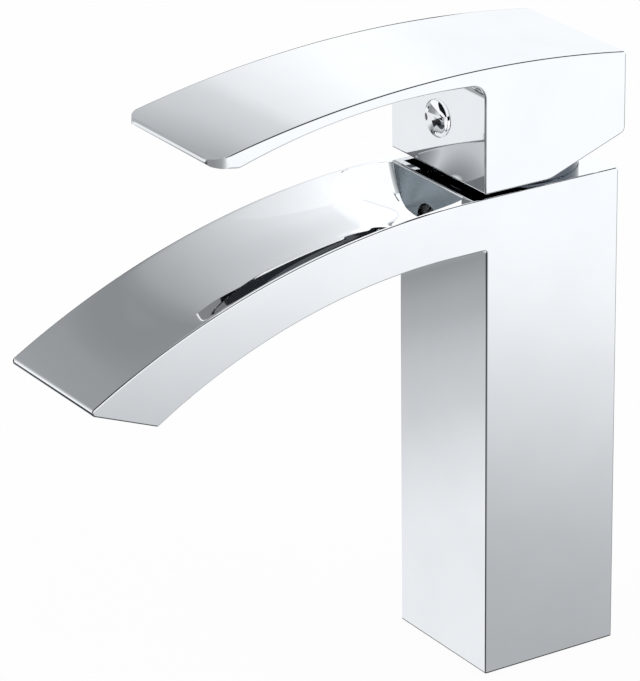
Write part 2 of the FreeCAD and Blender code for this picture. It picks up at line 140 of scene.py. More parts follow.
def rounding_centre(before, after, radius):
    """The centre of the circle that touches both runs at a corner, by Newton's steps from the corner."""
    corner = before["end"].copy()
    _, left_before = left_distance(before, corner)
    _, left_after = left_distance(after, corner)
    side = np.sign(left_before[0] * left_after[1] - left_before[1] * left_after[0])
    centre = corner
    for _ in range(NEWTON_STEPS):
        far_before, grow_before = left_distance(before, centre)
        far_after, grow_after = left_distance(after, centre)
        miss = np.array([far_before, far_after]) - side * radius
        centre = centre - np.linalg.solve(np.array([grow_before, grow_after]), miss)
    return centre, side


def outline(points, centres, radii, counts):
    """The loop's points and normals, as one pair of arrays for each run and each corner after it. Run i goes
    from point i to the next, and centres has the centre of each run that is an arc."""
    ends = points[1:] + points[:1]
    runs = [loop_run(*pair, centres.get(index)) for index, pair in enumerate(zip(points, ends))]
    corners = []
    for before, after, radius in zip(runs, runs[1:] + runs[:1], radii):
        if radius == 0.0:
            corners.append({"leave": before["end"], "join": after["start"], "arc": None})
            continue
        centre, side = rounding_centre(before, after, radius)
        leave, join = (
            centre - far * grow for far, grow in (left_distance(run, centre) for run in (before, after))
        )
        made = sample_arc(centre, leave, join, CORNER_POINTS, side)
        corners.append({"leave": leave, "join": join, "arc": made})
    parts = []
    for index, run in enumerate(runs):
        parts.append(sample_run(run, corners[index - 1]["join"], corners[index]["leave"], counts[index]))
        parts.append(corners[index]["arc"])
    return parts


def one_loop(parts):
    """The parts joined into one closed loop, with the points that repeat where parts meet left out once."""
    points, normals = (np.concatenate([part[side] for part in parts if part is not None]) for side in (0, 1))
    keep = np.linalg.norm(points - np.roll(points, 1, axis=0), axis=1) > SAME_POINT
    return points[keep], normals[keep]


print("a rounded corner has", CORNER_POINTS, "points")

# %% [markdown]
# ## From grids to meshes
# Every surface below is a grid of points. A grid could be filled by loops over its vertices, but whole
# arrays are faster and easier to read: the faces of a grid are index arithmetic, and the mesh takes the
# arrays as they are. Doubles are merged, so that seams and poles are closed, and the normals are then made
# to point outwards.

# %% Meshes from grids
MERGE_DISTANCE = 1e-7


def grid_faces(rows, columns, wrap_rows=False, wrap_columns=False):
    """The quads of a grid: point (i, j) has the number i * columns + j, and a wrap joins last to first."""
    i = np.arange(rows if wrap_rows else rows - 1)[:, None]
    j = np.arange(columns if wrap_columns else columns - 1)[None, :]
    i_next, j_next = (i + 1) % rows, (j + 1) % columns
    corners = (i * columns + j, i * columns + j_next, i_next * columns + j_next, i_next * columns + j)
    return np.stack([np.broadcast_to(corner, (i.size, j.size)) for corner in corners], axis=-1).reshape(-1, 4)


def close_mesh(mesh):
    """Merges doubles, drops faces with no area, and turns the faces of the closed mesh outwards."""
    work = bmesh.new()
    work.from_mesh(mesh)
    bmesh.ops.remove_doubles(work, verts=work.verts, dist=MERGE_DISTANCE)
    bmesh.ops.dissolve_degenerate(work, edges=work.edges, dist=MERGE_DISTANCE)
    bmesh.ops.recalc_face_normals(work, faces=work.faces)
    open_edges = sum(1 for edge in work.edges if len(edge.link_faces) != 2)
    work.to_mesh(mesh)
    work.free()
    return open_edges


def solid(name, points, faces, caps=()):
    """A closed mesh object from a grid's points and faces, with flat caps given as rings of point numbers."""
    mesh = bpy.data.meshes.new(name)
    mesh.from_pydata(points.reshape(-1, 3).tolist(), [], faces.tolist() + [list(ring) for ring in caps])
    open_edges = close_mesh(mesh)
    piece = bpy.data.objects.new(name, mesh)
    scene.collection.objects.link(piece)
    print(name, "faces:", len(mesh.polygons), "open edges:", open_edges)
    return piece


print("points nearer than", MM * MERGE_DISTANCE, "mm are merged")

# %% [markdown]
# ## A slab with rounded sides
# A side view is carried across the width, and its long edges are rounded off as a polishing wheel leaves
# them. A Bevel modifier could do that, but a bevel on a curved edge pinches at the corners of the outline.
# Here the last half millimetre or so at each side is a quarter circle, and the outline shrinks there along
# its own normals.

# %% The slab's grid
SIDE_POINTS = 7


def quarter(count):
    """The angles of a quarter turn."""
    return np.linspace(0.0, math.pi / 2.0, count)


def slab_grid(points, normals, across, drop, half_width, radius):
    """Point (i, j) of the slab: outline point i, set at across[i, j] and let down by drop[i, j], and at both
    ends of each row a quarter circle of a radius from the top of the edge down to the flat side."""
    tilt = quarter(SIDE_POINTS)[None, :]
    inset = radius * (1.0 - np.cos(tilt))
    edge_y = points[:, :1] - inset * normals[:, :1]
    edge_z = points[:, 1:] - inset * normals[:, 1:]
    edge_x = np.broadcast_to(half_width - radius + radius * np.sin(tilt), edge_y.shape)
    right = np.stack([edge_x, edge_y, edge_z], axis=-1)
    left = right[:, ::-1] * np.array([-1.0, 1.0, 1.0])
    middle_y = np.broadcast_to(points[:, :1], across.shape)
    middle = np.stack([across, middle_y, points[:, 1:] - drop], axis=-1)
    return np.concatenate([left, middle, right], axis=1)


def slab(name, grid):
    """The closed solid of a slab's grid, with its two flat sides as caps."""
    rows, columns = grid.shape[:2]
    near = np.arange(rows) * columns + columns - 1
    far = np.arange(rows)[::-1] * columns
    return solid(name, grid, grid_faces(rows, columns, wrap_rows=True), caps=(near, far))


print("a rounded side edge has", SIDE_POINTS, "points")

# %% [markdown]
# ## The body's side view
# The column and the spout are one brass casting. The back of the spout leaves the column's flat top as one
# large arc, the nose is cut off at a slant, and a smaller arc runs back under the spout to the column's
# front. The width, the back and the top are read from the frame, and the rest are the casting's own sizes.

# %% Sizes and runs of the body
_, body_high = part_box("faucet_body")
BODY_HALF_WIDTH, BODY_BACK, BODY_TOP = body_high
HEAD_FRONT = -0.0264
SPOUT_RADIUS = 0.230
LIP_REACH = -0.1446
NOSE_ANGLE = math.radians(21.4)
UNDER_RADIUS = 0.173
UNDER_CREST = np.array([-0.0324, 0.1258])
BODY_SIDE_RADIUS = 0.0005

spout_centre = np.array([HEAD_FRONT, BODY_TOP - SPOUT_RADIUS])
under_centre = UNDER_CREST - np.array([0.0, UNDER_RADIUS])


def on_circle(centre, radius, y):
    """The upper point of a circle at a given y, by the square root of radius^2 - (y - centre)^2."""
    return np.array([y, centre[1] + np.sqrt(radius**2 - (y - centre[0]) ** 2)])


lip = on_circle(spout_centre, SPOUT_RADIUS, LIP_REACH)
nose_along = np.array([math.cos(NOSE_ANGLE), -math.sin(NOSE_ANGLE)])
lip_spoke = lip - under_centre
lip_along = lip_spoke @ nose_along
nose_length = -lip_along - math.sqrt(lip_along**2 - lip_spoke @ lip_spoke + UNDER_RADIUS**2)
heel = lip + nose_length * nose_along
print("lip at", lip.round(4), "heel at", heel.round(4), "nose length", round(nose_length, 4))

# %% [markdown]
# ## The trough along the spout
# Water runs to the lip in an open trough. Across the spout it is a shallow dish, and along the spout it grows
# deeper towards the column, where it becomes a well with steep sides round the outlet. It could be cut out
# of the spout, but a cut leaves a hard rim. Here the rows of the body's grid dip, so that the rim, the sides
# and the floor are one smooth surface.

# %% Depth and section of the trough
DISH_END, DISH_LENGTH = -0.134, 0.060
DISH_DEPTH, DISH_POWER = 0.0055, 0.62
DISH_FADE = (-0.138, -0.112)
WELL_START, WELL_DEPTH = -0.050, 0.012
DISH_HALF_WIDTH, WELL_HALF_WIDTH = 0.0203, 0.0165
DISH_CURVE, WELL_CURVE = 2.0, 6.0
RIM_SOFTNESS = 0.00012
LIP_START, LIP_BEND, LIP_SAG, LIP_CURVE = -0.1375, 0.006, 0.00035, 8
SECTION_SHARES = np.linspace(0.0, 1.0, 34)
RIM_SHARES = np.linspace(0.0, 1.0, 3)[1:]


def step(value, low, high):
    """A smooth step from 0 at low to 1 at high."""
    share = np.clip((value - low) / (high - low), 0.0, 1.0)
    return share * share * (3.0 - 2.0 * share)


def dish_depth(y):
    """The dish's depth, a power of the distance from its end, faded out before the lip."""
    along = np.maximum((y - DISH_END) / DISH_LENGTH, 0.0)
    return DISH_DEPTH * along**DISH_POWER * step(y, *DISH_FADE)


def trough_depth(y):
    """How far the middle of the trough lies under the spout's back: the dish, and the well's step down."""
    return dish_depth(y) + (WELL_DEPTH - dish_depth(HEAD_FRONT)) * step(y, WELL_START, HEAD_FRONT)


def trough_half(y, rim_end):
    """Half of the trough's section at each y, from the middle out: depth * (1 - (x / width) ^ curve), where
    the curve goes from a dish's 2 to a well's 6 and the width draws in along a quarter ellipse, then the rim.
    Near the lip the surface bends down a little more, by the square of the distance."""
    y = y[:, None]
    well = np.clip((y - WELL_START) / (HEAD_FRONT - WELL_START), 0.0, 1.0)
    width = WELL_HALF_WIDTH + (DISH_HALF_WIDTH - WELL_HALF_WIDTH) * np.sqrt(1.0 - well**2)
    curve = DISH_CURVE + (WELL_CURVE - DISH_CURVE) * step(y, WELL_START, HEAD_FRONT)
    share = np.sin(SECTION_SHARES * math.pi / 2.0)
    dip = trough_depth(y) * (1.0 - share**curve)
    dip = np.sqrt(dip**2 + RIM_SOFTNESS**2) - RIM_SOFTNESS
    bend = np.maximum((LIP_START - y) / LIP_BEND, 0.0)
    dip = dip + LIP_SAG * bend**2 * (1.0 - share**LIP_CURVE)
    rim_x = width + (rim_end - width) * RIM_SHARES
    return np.concatenate([width * share, rim_x], axis=1), np.concatenate([dip, 0.0 * rim_x], axis=1)


depth_places = np.array([DISH_END, WELL_START, HEAD_FRONT])
print("trough depth in mm at y", MM * depth_places, "is", (MM * trough_depth(depth_places)).round(1))

# %% [markdown]
# ## The body as one grid
# The side view gives the rows and the trough's section the columns. Away from the trough the columns are
# spread evenly. At the back wall several rows share one y and differ only in how far they may dip, which
# makes the wall upright and rounds its top edge.

# %% Rows and columns of the body
WALL_EDGE_RADIUS, WALL_EDGE_POINTS = 0.0004, 6
BODY_RADII = [0.0, 0.0, 0.0012, 0.0009, 0.0, 0.0010, 0.0005, 0.0005, 0.0009]
BODY_COUNTS = [9, 190, 9, 9, 60, 3, 13, 5, 13]
body_corners = [
    (BODY_BACK, BODY_TOP),
    (HEAD_FRONT, BODY_TOP),
    on_circle(spout_centre, SPOUT_RADIUS, DISH_FADE[0]),
    lip,
    heel,
    UNDER_CREST,
    (-BODY_BACK, UNDER_CREST[1]),
    (-BODY_BACK, 0.0),
    (BODY_BACK, 0.0),
]
body_centres = {1: spout_centre, 2: spout_centre, 4: under_centre}
body_parts = outline(body_corners, body_centres, BODY_RADII, BODY_COUNTS)

edge_tilt = quarter(WALL_EDGE_POINTS)
edge_y = HEAD_FRONT + WALL_EDGE_RADIUS * (1.0 - np.sin(edge_tilt))
edge_points = np.stack([edge_y, np.full(edge_y.shape, BODY_TOP)], axis=1)
edge_limit = WALL_EDGE_RADIUS * (1.0 - np.cos(edge_tilt))
top_points, top_normals = (array[:-1] for array in body_parts[0])
rest_points, rest_normals = one_loop(body_parts[3:])
arch_points, arch_normals = body_parts[2]

station_points = np.concatenate([top_points, edge_points, arch_points, rest_points[1:]])
edge_normals = np.tile([0.0, 1.0], (len(edge_points), 1))
station_normals = np.concatenate([top_normals, edge_normals, arch_normals, rest_normals[1:]])
edge_rows = slice(len(top_points), len(top_points) + len(edge_points))
trough_rows = slice(len(top_points), edge_rows.stop + len(arch_points))

rim_end = BODY_HALF_WIDTH - BODY_SIDE_RADIUS
even = rim_end * np.linspace(0.0, 1.0, len(SECTION_SHARES) + len(RIM_SHARES))
half_x = np.tile(even, (len(station_points), 1))
half_drop = np.zeros(half_x.shape)
trough_y = np.minimum(station_points[trough_rows, 0], HEAD_FRONT)
half_x[trough_rows], half_drop[trough_rows] = trough_half(trough_y, rim_end)
half_drop[edge_rows] = np.minimum(half_drop[edge_rows], edge_limit[:, None])

across = np.concatenate([-half_x[:, :0:-1], half_x], axis=1)
drop = np.concatenate([half_drop[:, :0:-1], half_drop], axis=1)
body_grid = slab_grid(station_points, station_normals, across, drop, BODY_HALF_WIDTH, BODY_SIDE_RADIUS)
body = slab("column_and_spout", body_grid)

# %% [markdown]
# ## Turned shapes and cuts
# A drill leaves a turned hole and a milling tool a straight one. They could be built into the grid of the
# piece, but then the grid would have to bend round every hole. Here a turned shape is a profile carried round
# an axis, a prism is a ring carried from one end to the other, and Boolean cuts them out of the piece. The
# cuts part its flat sides into many faces, which are joined again, as slivers would shade badly.

# %% Prisms, turned shapes and cuts
TURN_POINTS = 96
UP, SIDEWAYS, FORWARD = np.array([0.0, 0.0, 1.0]), np.array([1.0, 0.0, 0.0]), np.array([0.0, -1.0, 0.0])
FLAT_SIDE = 0.99999


def prism(name, ring, ends):
    """A closed prism: one ring of points, moved to each of two ends."""
    count = len(ring)
    grid = np.stack([ring + np.array(end) for end in ends])
    caps = (np.arange(count), np.arange(count)[::-1] + count)
    return solid(name, grid, grid_faces(2, count, wrap_columns=True), caps)


def turned(name, profile, centre, axis, closed=False):
    """A surface of revolution: each (radius, along) of the profile goes round the axis through centre, and
    starts sideways."""
    other = np.cross(axis, SIDEWAYS)
    angle = np.linspace(0.0, 2.0 * math.pi, TURN_POINTS, endpoint=False)
    rim = np.cos(angle)[:, None] * SIDEWAYS + np.sin(angle)[:, None] * other
    profile = np.array(profile, float)
    grid = np.array(centre) + profile[:, None, 1:] * axis + profile[:, None, :1] * rim[None]
    return solid(name, grid, grid_faces(len(profile), TURN_POINTS, wrap_rows=closed, wrap_columns=True))


def carve(piece, *cutters):
    """Cuts closed shapes out of a piece, one after the other, removes them, and joins the pieces into which
    the cuts have parted the flat sides."""
    for cutter in cutters:
        cut = piece.modifiers.new("cut", "BOOLEAN")
        cut.operation = "DIFFERENCE"
        cut.solver = "EXACT"
        cut.object = cutter
        graph = bpy.context.evaluated_depsgraph_get()
        carved = bpy.data.meshes.new_from_object(piece.evaluated_get(graph))
        piece.modifiers.clear()
        piece.data = carved
        bpy.data.objects.remove(cutter)
    work = bmesh.new()
    work.from_mesh(piece.data)
    sides = [face for face in work.faces if abs(face.normal.x) > FLAT_SIDE]
    outermost = max(abs(face.calc_center_median().x) for face in sides)
    sides = [face for face in sides if abs(face.calc_center_median().x) > outermost - MERGE_DISTANCE]
    bmesh.ops.dissolve_faces(work, faces=sides)
    work.to_mesh(piece.data)
    work.free()


print("a turned shape has", TURN_POINTS, "points to the turn")

# %% [markdown]
# ## Dressing the frame
# A finished piece takes the place of a solid and moves with that solid's body. Polished metal shows every
# fault in its shading. Smooth shading alone would bend the light on flat faces near their rounded edges, so
# edges over an angle stay sharp and the normals are weighed by the faces' areas.

# %% Shading and dressing
SHARP_ANGLE = math.radians(32.0)


def shade(piece):
    """Smooth shading that stops at sharp edges, with flat faces kept flat by weighing normals by area."""
    piece.data.polygons.foreach_set("use_smooth", np.ones(len(piece.data.polygons), bool))
    piece.data.set_sharp_from_angle(angle=SHARP_ANGLE)
    weigh = piece.modifiers.new("flat faces", "WEIGHTED_NORMAL")
    weigh.keep_sharp = True


def dress(piece, node):
    """Puts a finished piece in the place of a node: shaded, on the node's body, with the node hidden."""
    body = next(name for name, members in frame["record"]["behaviour"]["bodies"].items() if node in members)
    shade(piece)
    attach(piece, body)
    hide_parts(node)
    print(piece.name, "rides on", body)


print("flat faces meet smooth ones up to", round(math.degrees(SHARP_ANGLE)), "degrees")

# %% [markdown]
# ## The bores of the body
# The column is bored for the cartridge, the two supply hoses, the two fixing studs and the seal under its
# foot, and a half-round outlet opens from the cartridge's chamber into the trough. The outlet could be turned
# as well, but half a rod would leave an open side, so it is a prism over half a circle.

# %% Cut the bores
FOOT_MIDDLE = (0.0, 0.0, 0.0)
CHAMBER_RADIUS = 0.018
CHAMBER_FLOOR = 0.1105
INLET_RADIUS, INLET_DEPTH, WATERWAY_RADIUS = 0.0045, 0.014, 0.0026
INLET_PLACES = ((-0.007, -0.0032, 0.0), (0.007, -0.0032, 0.0))
STUD_RADIUS, STUD_DEPTH = 0.00335, 0.016
STUD_PLACES = ((0.0, 0.0125, 0.0), (0.0, -0.0125, 0.0))
GROOVE_INNER, GROOVE_OUTER, GROOVE_DEPTH = 0.0177, 0.0199, 0.002
OUTLET_RADIUS, OUTLET_POINTS, OUTLET_LIFT = 0.005, 25, 0.00002
OUTLET_ENDS = (HEAD_FRONT - 0.0002, -CHAMBER_RADIUS + 0.003)
PAST = 0.001


def rod(name, centre, steps):
    """A stepped rod to cut with: it is turned from (radius, along) pairs and closed on its upright axis."""
    profile = [(0.0, steps[0][1]), *steps, (0.0, steps[-1][1])]
    return turned(name, profile, centre, UP)


chamber = [(CHAMBER_RADIUS, CHAMBER_FLOOR), (CHAMBER_RADIUS, BODY_TOP + PAST)]
inlet = [
    (INLET_RADIUS, -PAST),
    (INLET_RADIUS, INLET_DEPTH),
    (WATERWAY_RADIUS, INLET_DEPTH),
    (WATERWAY_RADIUS, CHAMBER_FLOOR + PAST),
]
stud = [(STUD_RADIUS, -PAST), (STUD_RADIUS, STUD_DEPTH)]
groove = [
    (GROOVE_INNER, -PAST),
    (GROOVE_OUTER, -PAST),
    (GROOVE_OUTER, GROOVE_DEPTH),
    (GROOVE_INNER, GROOVE_DEPTH),
]
outlet_angle = np.linspace(0.0, math.pi, OUTLET_POINTS)
outlet_arch = np.stack([np.cos(outlet_angle), 0.0 * outlet_angle, np.sin(outlet_angle)], axis=1)
outlet_middle = np.array([0.0, 0.0, BODY_TOP - WELL_DEPTH + OUTLET_LIFT])
outlet_ring = outlet_middle + OUTLET_RADIUS * outlet_arch
carve(
    body,
    *[rod("inlet", place, inlet) for place in INLET_PLACES],
    *[rod("stud", place, stud) for place in STUD_PLACES],
    turned("groove", groove, FOOT_MIDDLE, UP, closed=True),
    rod("chamber", FOOT_MIDDLE, chamber),
    prism("outlet", outlet_ring, [(0.0, end, 0.0) for end in OUTLET_ENDS]),
)
dress(body, "faucet_body")
print("column_and_spout after its cuts:", len(body.data.polygons), "faces")

# %% [markdown]
# ## The handle and its lever
# The handle is one hollow casting: a block that covers the cartridge, and a lever that leaves the top of the
# block as a long flat arc and thins towards its tip. It is the same kind of slab. No corner of its side view
# is rounded less than its long edges are, because the edge would then fold over itself at that corner.

# %% Sizes and grid of the handle
handle_low, handle_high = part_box("handle_lever")
HANDLE_HALF_WIDTH, HANDLE_BACK, _ = handle_high
_, LEVER_TIP, HANDLE_FOOT = handle_low
BLOCK_FRONT = -0.0231
TAIL = (-0.0020, HANDLE_FOOT)
BACK_FOOT = (HANDLE_BACK, 0.15098)
LEVER_TOP_CENTRE, LEVER_TOP_RADIUS = np.array([-0.029, -0.1594]), 0.337
LEVER_UNDER_CENTRE, LEVER_UNDER_RADIUS = np.array([-0.042, -0.0262]), 0.200
TIP_FOOT = (LEVER_TIP, 0.1668)
TIP_BEVEL_Y = -0.0988
HANDLE_SIDE_RADIUS, HANDLE_COLUMNS = 0.0006, 9
HANDLE_RADII = [0.0007, 0.0007, 0.0030, 0.0045, 0.0007, 0.0080, 0.0020, 0.0010]
HANDLE_COUNTS = [120, 3, 7, 90, 13, 9, 9, 9]

back_top = on_circle(LEVER_TOP_CENTRE, LEVER_TOP_RADIUS, HANDLE_BACK)
tip_top = on_circle(LEVER_TOP_CENTRE, LEVER_TOP_RADIUS, LEVER_TIP)
tip_bevel = on_circle(LEVER_UNDER_CENTRE, LEVER_UNDER_RADIUS, TIP_BEVEL_Y)
lever_root = on_circle(LEVER_UNDER_CENTRE, LEVER_UNDER_RADIUS, BLOCK_FRONT)
handle_corners = [
    back_top, tip_top, TIP_FOOT, tip_bevel, lever_root, (BLOCK_FRONT, HANDLE_FOOT), TAIL, BACK_FOOT
]
handle_centres = {0: LEVER_TOP_CENTRE, 3: LEVER_UNDER_CENTRE}
handle_loop = one_loop(outline(handle_corners, handle_centres, HANDLE_RADII, HANDLE_COUNTS))

half_across = (HANDLE_HALF_WIDTH - HANDLE_SIDE_RADIUS) * np.linspace(-1.0, 1.0, HANDLE_COLUMNS)
handle_across = np.tile(half_across, (len(handle_loop[0]), 1))
flat_top = np.zeros(handle_across.shape)
handle_grid = slab_grid(*handle_loop, handle_across, flat_top, HANDLE_HALF_WIDTH, HANDLE_SIDE_RADIUS)
handle = slab("block_and_lever", handle_grid)

# %% [markdown]
# ## The hollow under the handle
# The block is hollow, so that it drops over the cartridge's neck, and a boss inside it takes the spindle.
# The hollow is a box with a boss left standing, which is plain boxes cut one after the other. Seen from above
# the lever's tip has round corners, and each is cut with a prism whose inner side is a quarter circle.

# %% Hollow the handle
HOLLOW_HALF, HOLLOW_FRONT, HOLLOW_BACK = 0.0201, -0.0207, 0.0201
HOLLOW_FOOT, HOLLOW_ROOF = 0.1405, 0.17004
BOSS_HALF, BOSS_BACK, BOSS_FOOT, BOSS_LAP = 0.008, 0.0065, 0.153, 0.0002
BOSS_LOW, BOSS_WIDE = BOSS_FOOT - BOSS_LAP, BOSS_HALF + BOSS_LAP
SOCKET_X, SOCKET_Y, SOCKET_ROOF = 0.00355, 0.00405, 0.1690
HOLLOWS = {
    "hollow": ((-HOLLOW_HALF, HOLLOW_FRONT, HOLLOW_FOOT), (HOLLOW_HALF, HOLLOW_BACK, BOSS_FOOT)),
    "left_of_boss": ((-HOLLOW_HALF, HOLLOW_FRONT, BOSS_LOW), (-BOSS_HALF, HOLLOW_BACK, HOLLOW_ROOF)),
    "right_of_boss": ((BOSS_HALF, HOLLOW_FRONT, BOSS_LOW), (HOLLOW_HALF, HOLLOW_BACK, HOLLOW_ROOF)),
    "behind_boss": ((-BOSS_WIDE, BOSS_BACK, BOSS_LOW), (BOSS_WIDE, HOLLOW_BACK, HOLLOW_ROOF)),
    "spindle_socket": ((-SOCKET_X, -SOCKET_Y, BOSS_LOW), (SOCKET_X, SOCKET_Y, SOCKET_ROOF)),
}
TIP_ROUNDING, TIP_MARGIN, TIP_POINTS = 0.005, 0.00002, 19
TIP_SPAN = (0.155, 0.185)


def tip_corner(name, sign):
    """A prism over one corner of the tip: a quarter circle that leaves the tip and the side at a very small
    angle, and the corner of a square round it."""
    angle = quarter(TIP_POINTS) - math.pi / 2.0
    inset = TIP_ROUNDING - TIP_MARGIN
    inner_x = HANDLE_HALF_WIDTH - inset + TIP_ROUNDING * np.cos(angle)
    inner_y = LEVER_TIP + inset + TIP_ROUNDING * np.sin(angle)
    far_x, far_y = HANDLE_HALF_WIDTH + TIP_ROUNDING, LEVER_TIP - TIP_ROUNDING
    x = sign * np.concatenate([inner_x, [far_x, far_x, inner_x[0]]])
    y = np.concatenate([inner_y, [inner_y[-1], far_y, far_y]])
    return prism(name, np.stack([x, y, 0.0 * x], axis=1), [(0.0, 0.0, level) for level in TIP_SPAN])


def block(name, low, high):
    """A box to cut with: its corners are the products of the low and high sides."""
    corner = np.stack(np.meshgrid([0, 1], [0, 1], [0, 1], indexing="ij"), axis=-1).reshape(-1, 3)
    points = np.array(low) + corner * (np.array(high) - np.array(low))
    faces = np.array([[0, 1, 3, 2], [4, 6, 7, 5], [0, 4, 5, 1], [2, 3, 7, 6], [0, 2, 6, 4], [1, 5, 7, 3]])
    return solid(name, points, faces)


tip_corners = [tip_corner("near_corner", 1.0), tip_corner("far_corner", -1.0)]
carve(handle, *tip_corners, *[block(name, *sides) for name, sides in HOLLOWS.items()])
dress(handle, "handle_lever")
print("block_and_lever after its cuts:", len(handle.data.polygons), "faces")

# %% [markdown]
# ## The bonnet ring
# A chromed ring with a domed shoulder covers the brass nut. It is turned on a lathe in reality, and here it
# is a profile turned about the column's axis, with its shoulder an arc and its lips rounded.

# %% Turn the bonnet
bonnet_low, bonnet_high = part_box("bonnet")
BONNET_RADIUS = bonnet_high.x
BONNET_FOOT, BONNET_TOP = bonnet_low.z, bonnet_high.z
BONNET_INNER, BONNET_MOUTH = 0.0176, 0.0131
BONNET_SHOULDER, SHOULDER_POINTS = 0.147, 15
BONNET_ROOF, BONNET_SLOPE = 0.0012, 0.0016
BONNET_LIP, LIP_POINTS = 0.0003, 5
shoulder_tilt, mouth_tilt = quarter(SHOULDER_POINTS), quarter(LIP_POINTS)
shoulder_reach = BONNET_TOP - BONNET_SHOULDER
shoulder_r = BONNET_RADIUS - shoulder_reach * (1.0 - np.cos(shoulder_tilt))
shoulder_z = BONNET_SHOULDER + shoulder_reach * np.sin(shoulder_tilt)
mouth_r = BONNET_MOUTH + BONNET_LIP * (1.0 - np.sin(mouth_tilt))
mouth_z = BONNET_TOP - BONNET_LIP * (1.0 - np.cos(mouth_tilt))
bonnet_profile = np.concatenate(
    [
        [(BONNET_INNER, BONNET_FOOT), (BONNET_RADIUS - BONNET_LIP, BONNET_FOOT)],
        [(BONNET_RADIUS, BONNET_FOOT + BONNET_LIP)],
        np.stack([shoulder_r, shoulder_z], axis=1),
        np.stack([mouth_r, mouth_z], axis=1),
        [(BONNET_MOUTH, BONNET_TOP - BONNET_ROOF)],
        [(BONNET_INNER, BONNET_TOP - BONNET_ROOF - BONNET_SLOPE)],
    ]
)
bonnet = turned("bonnet_ring", bonnet_profile, FOOT_MIDDLE, UP, closed=True)
dress(bonnet, "bonnet")

# %% [markdown]
# ## The plug
# A domed plug covers the set screw on the block's face. Its dome could be a part of a sphere, but the real
# one is flatter in its middle and steep at its rim, so half an ellipse is turned about the screw's axis.

# %% Turn the plug
plug_low, plug_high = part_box("indicator_plug")
PLUG_RADIUS = plug_high.x
PLUG_MIDDLE = (plug_low.z + plug_high.z) / 2.0
PLUG_CROWN = BLOCK_FRONT - plug_low.y
PLUG_SHANK_RADIUS, PLUG_SHANK = 0.0040, 0.0038
PLUG_RIM, DOME_POINTS = 0.0002, 28


def dome(distance):
    """How far the dome stands off the block's face at a distance from its middle: a flat half ellipse."""
    share = np.minimum(distance / PLUG_RADIUS, 1.0)
    return PLUG_RIM + (PLUG_CROWN - PLUG_RIM) * np.sqrt(1.0 - share**2)


dome_r = PLUG_RADIUS * np.cos(quarter(DOME_POINTS))
plug_profile = np.concatenate(
    [
        [(0.0, -PLUG_SHANK), (PLUG_SHANK_RADIUS, -PLUG_SHANK), (PLUG_SHANK_RADIUS, 0.0), (PLUG_RADIUS, 0.0)],
        np.stack([dome_r, dome(dome_r)], axis=1),
    ]
)
plug_centre = (0.0, BLOCK_FRONT, PLUG_MIDDLE)
plug = turned("domed_plug", plug_profile, plug_centre, FORWARD)
dress(plug, "indicator_plug")

# %% [markdown]
# ## The two marks
# One small dark mark shows hot and one cold. They could be painted by the plug's material, but enamel fills a
# little hole of its own and has a crisp edge. So each mark is a shallow disc: a polar grid whose top follows
# the plug's dome and stands a hair above it.

# %% Set the marks
MARK_RISE, MARK_CLEAR = 0.00004, 0.00001
MARK_RINGS, MARK_POINTS = 9, 40


def mark(name, node):
    """A disc on the dome: ring i has the radius r, stands at dome(x, z) and rises by (1 - (r / R)^2) a hair,
    and one more ring and the middle of the back lie inside the plug."""
    low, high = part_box(node)
    middle_x, radius = (low.x + high.x) / 2.0, (high.x - low.x) / 2.0
    ring = np.concatenate([np.linspace(0.0, radius, MARK_RINGS), [radius, 0.0]])[:, None]
    angle = np.linspace(0.0, 2.0 * math.pi, MARK_POINTS, endpoint=False)[None, :]
    x, z = middle_x + ring * np.cos(angle), ring * np.sin(angle)
    stand = dome(np.sqrt(x**2 + z**2)) + MARK_RISE * (1.0 - (ring / radius) ** 2) + MARK_CLEAR
    inside = np.arange(len(ring))[:, None] >= MARK_RINGS
    stand = np.where(inside, PLUG_RIM, stand)
    grid = np.stack([x, BLOCK_FRONT - stand, PLUG_MIDDLE + z], axis=-1)
    piece = solid(name, grid, grid_faces(len(ring), MARK_POINTS, wrap_columns=True))
    dress(piece, node)
    return piece


hot_disc = mark("hot_disc", "hot_mark")
cold_disc = mark("cold_disc", "cold_mark")

# %% [markdown]
# ## Tones
# Colours on a screen are coded, and shaders count light. Light could be guessed by eye, but a tone that is
# read off a photograph is exact, so it is turned into light by the screen's own curve.

# %% Screen tones
WHITE = (1.0, 1.0, 1.0, 1.0)


def light_of(tone):
    """The share of light for a screen tone from 0 to 255, by the usual screen curve."""
    share = tone / 255.0
    return share / 12.92 if share <= 0.04045 else ((share + 0.055) / 1.055) ** 2.4


def grey(tone, cool=0.0):
    """A grey of a screen tone, with its blue raised and its red lowered by cool."""
    return (light_of(tone - cool), light_of(tone), light_of(min(tone + cool, 255.0)), 1.0)


print("a screen tone of 128 is a light of", round(light_of(128), 3))

# %% [markdown]
# ## A helper for nodes
# Each finish is a tree of nodes. The nodes could be made and linked one by one in every material, but that
# takes a page for each. The helper holds a tree, and each of its methods adds a node, sets its inputs or
# links what is handed to it, and gives back the result, so that a finish reads like a formula.

# %% Nodes of a finish
NOISE_LOW, NOISE_HIGH = 0.3, 0.7


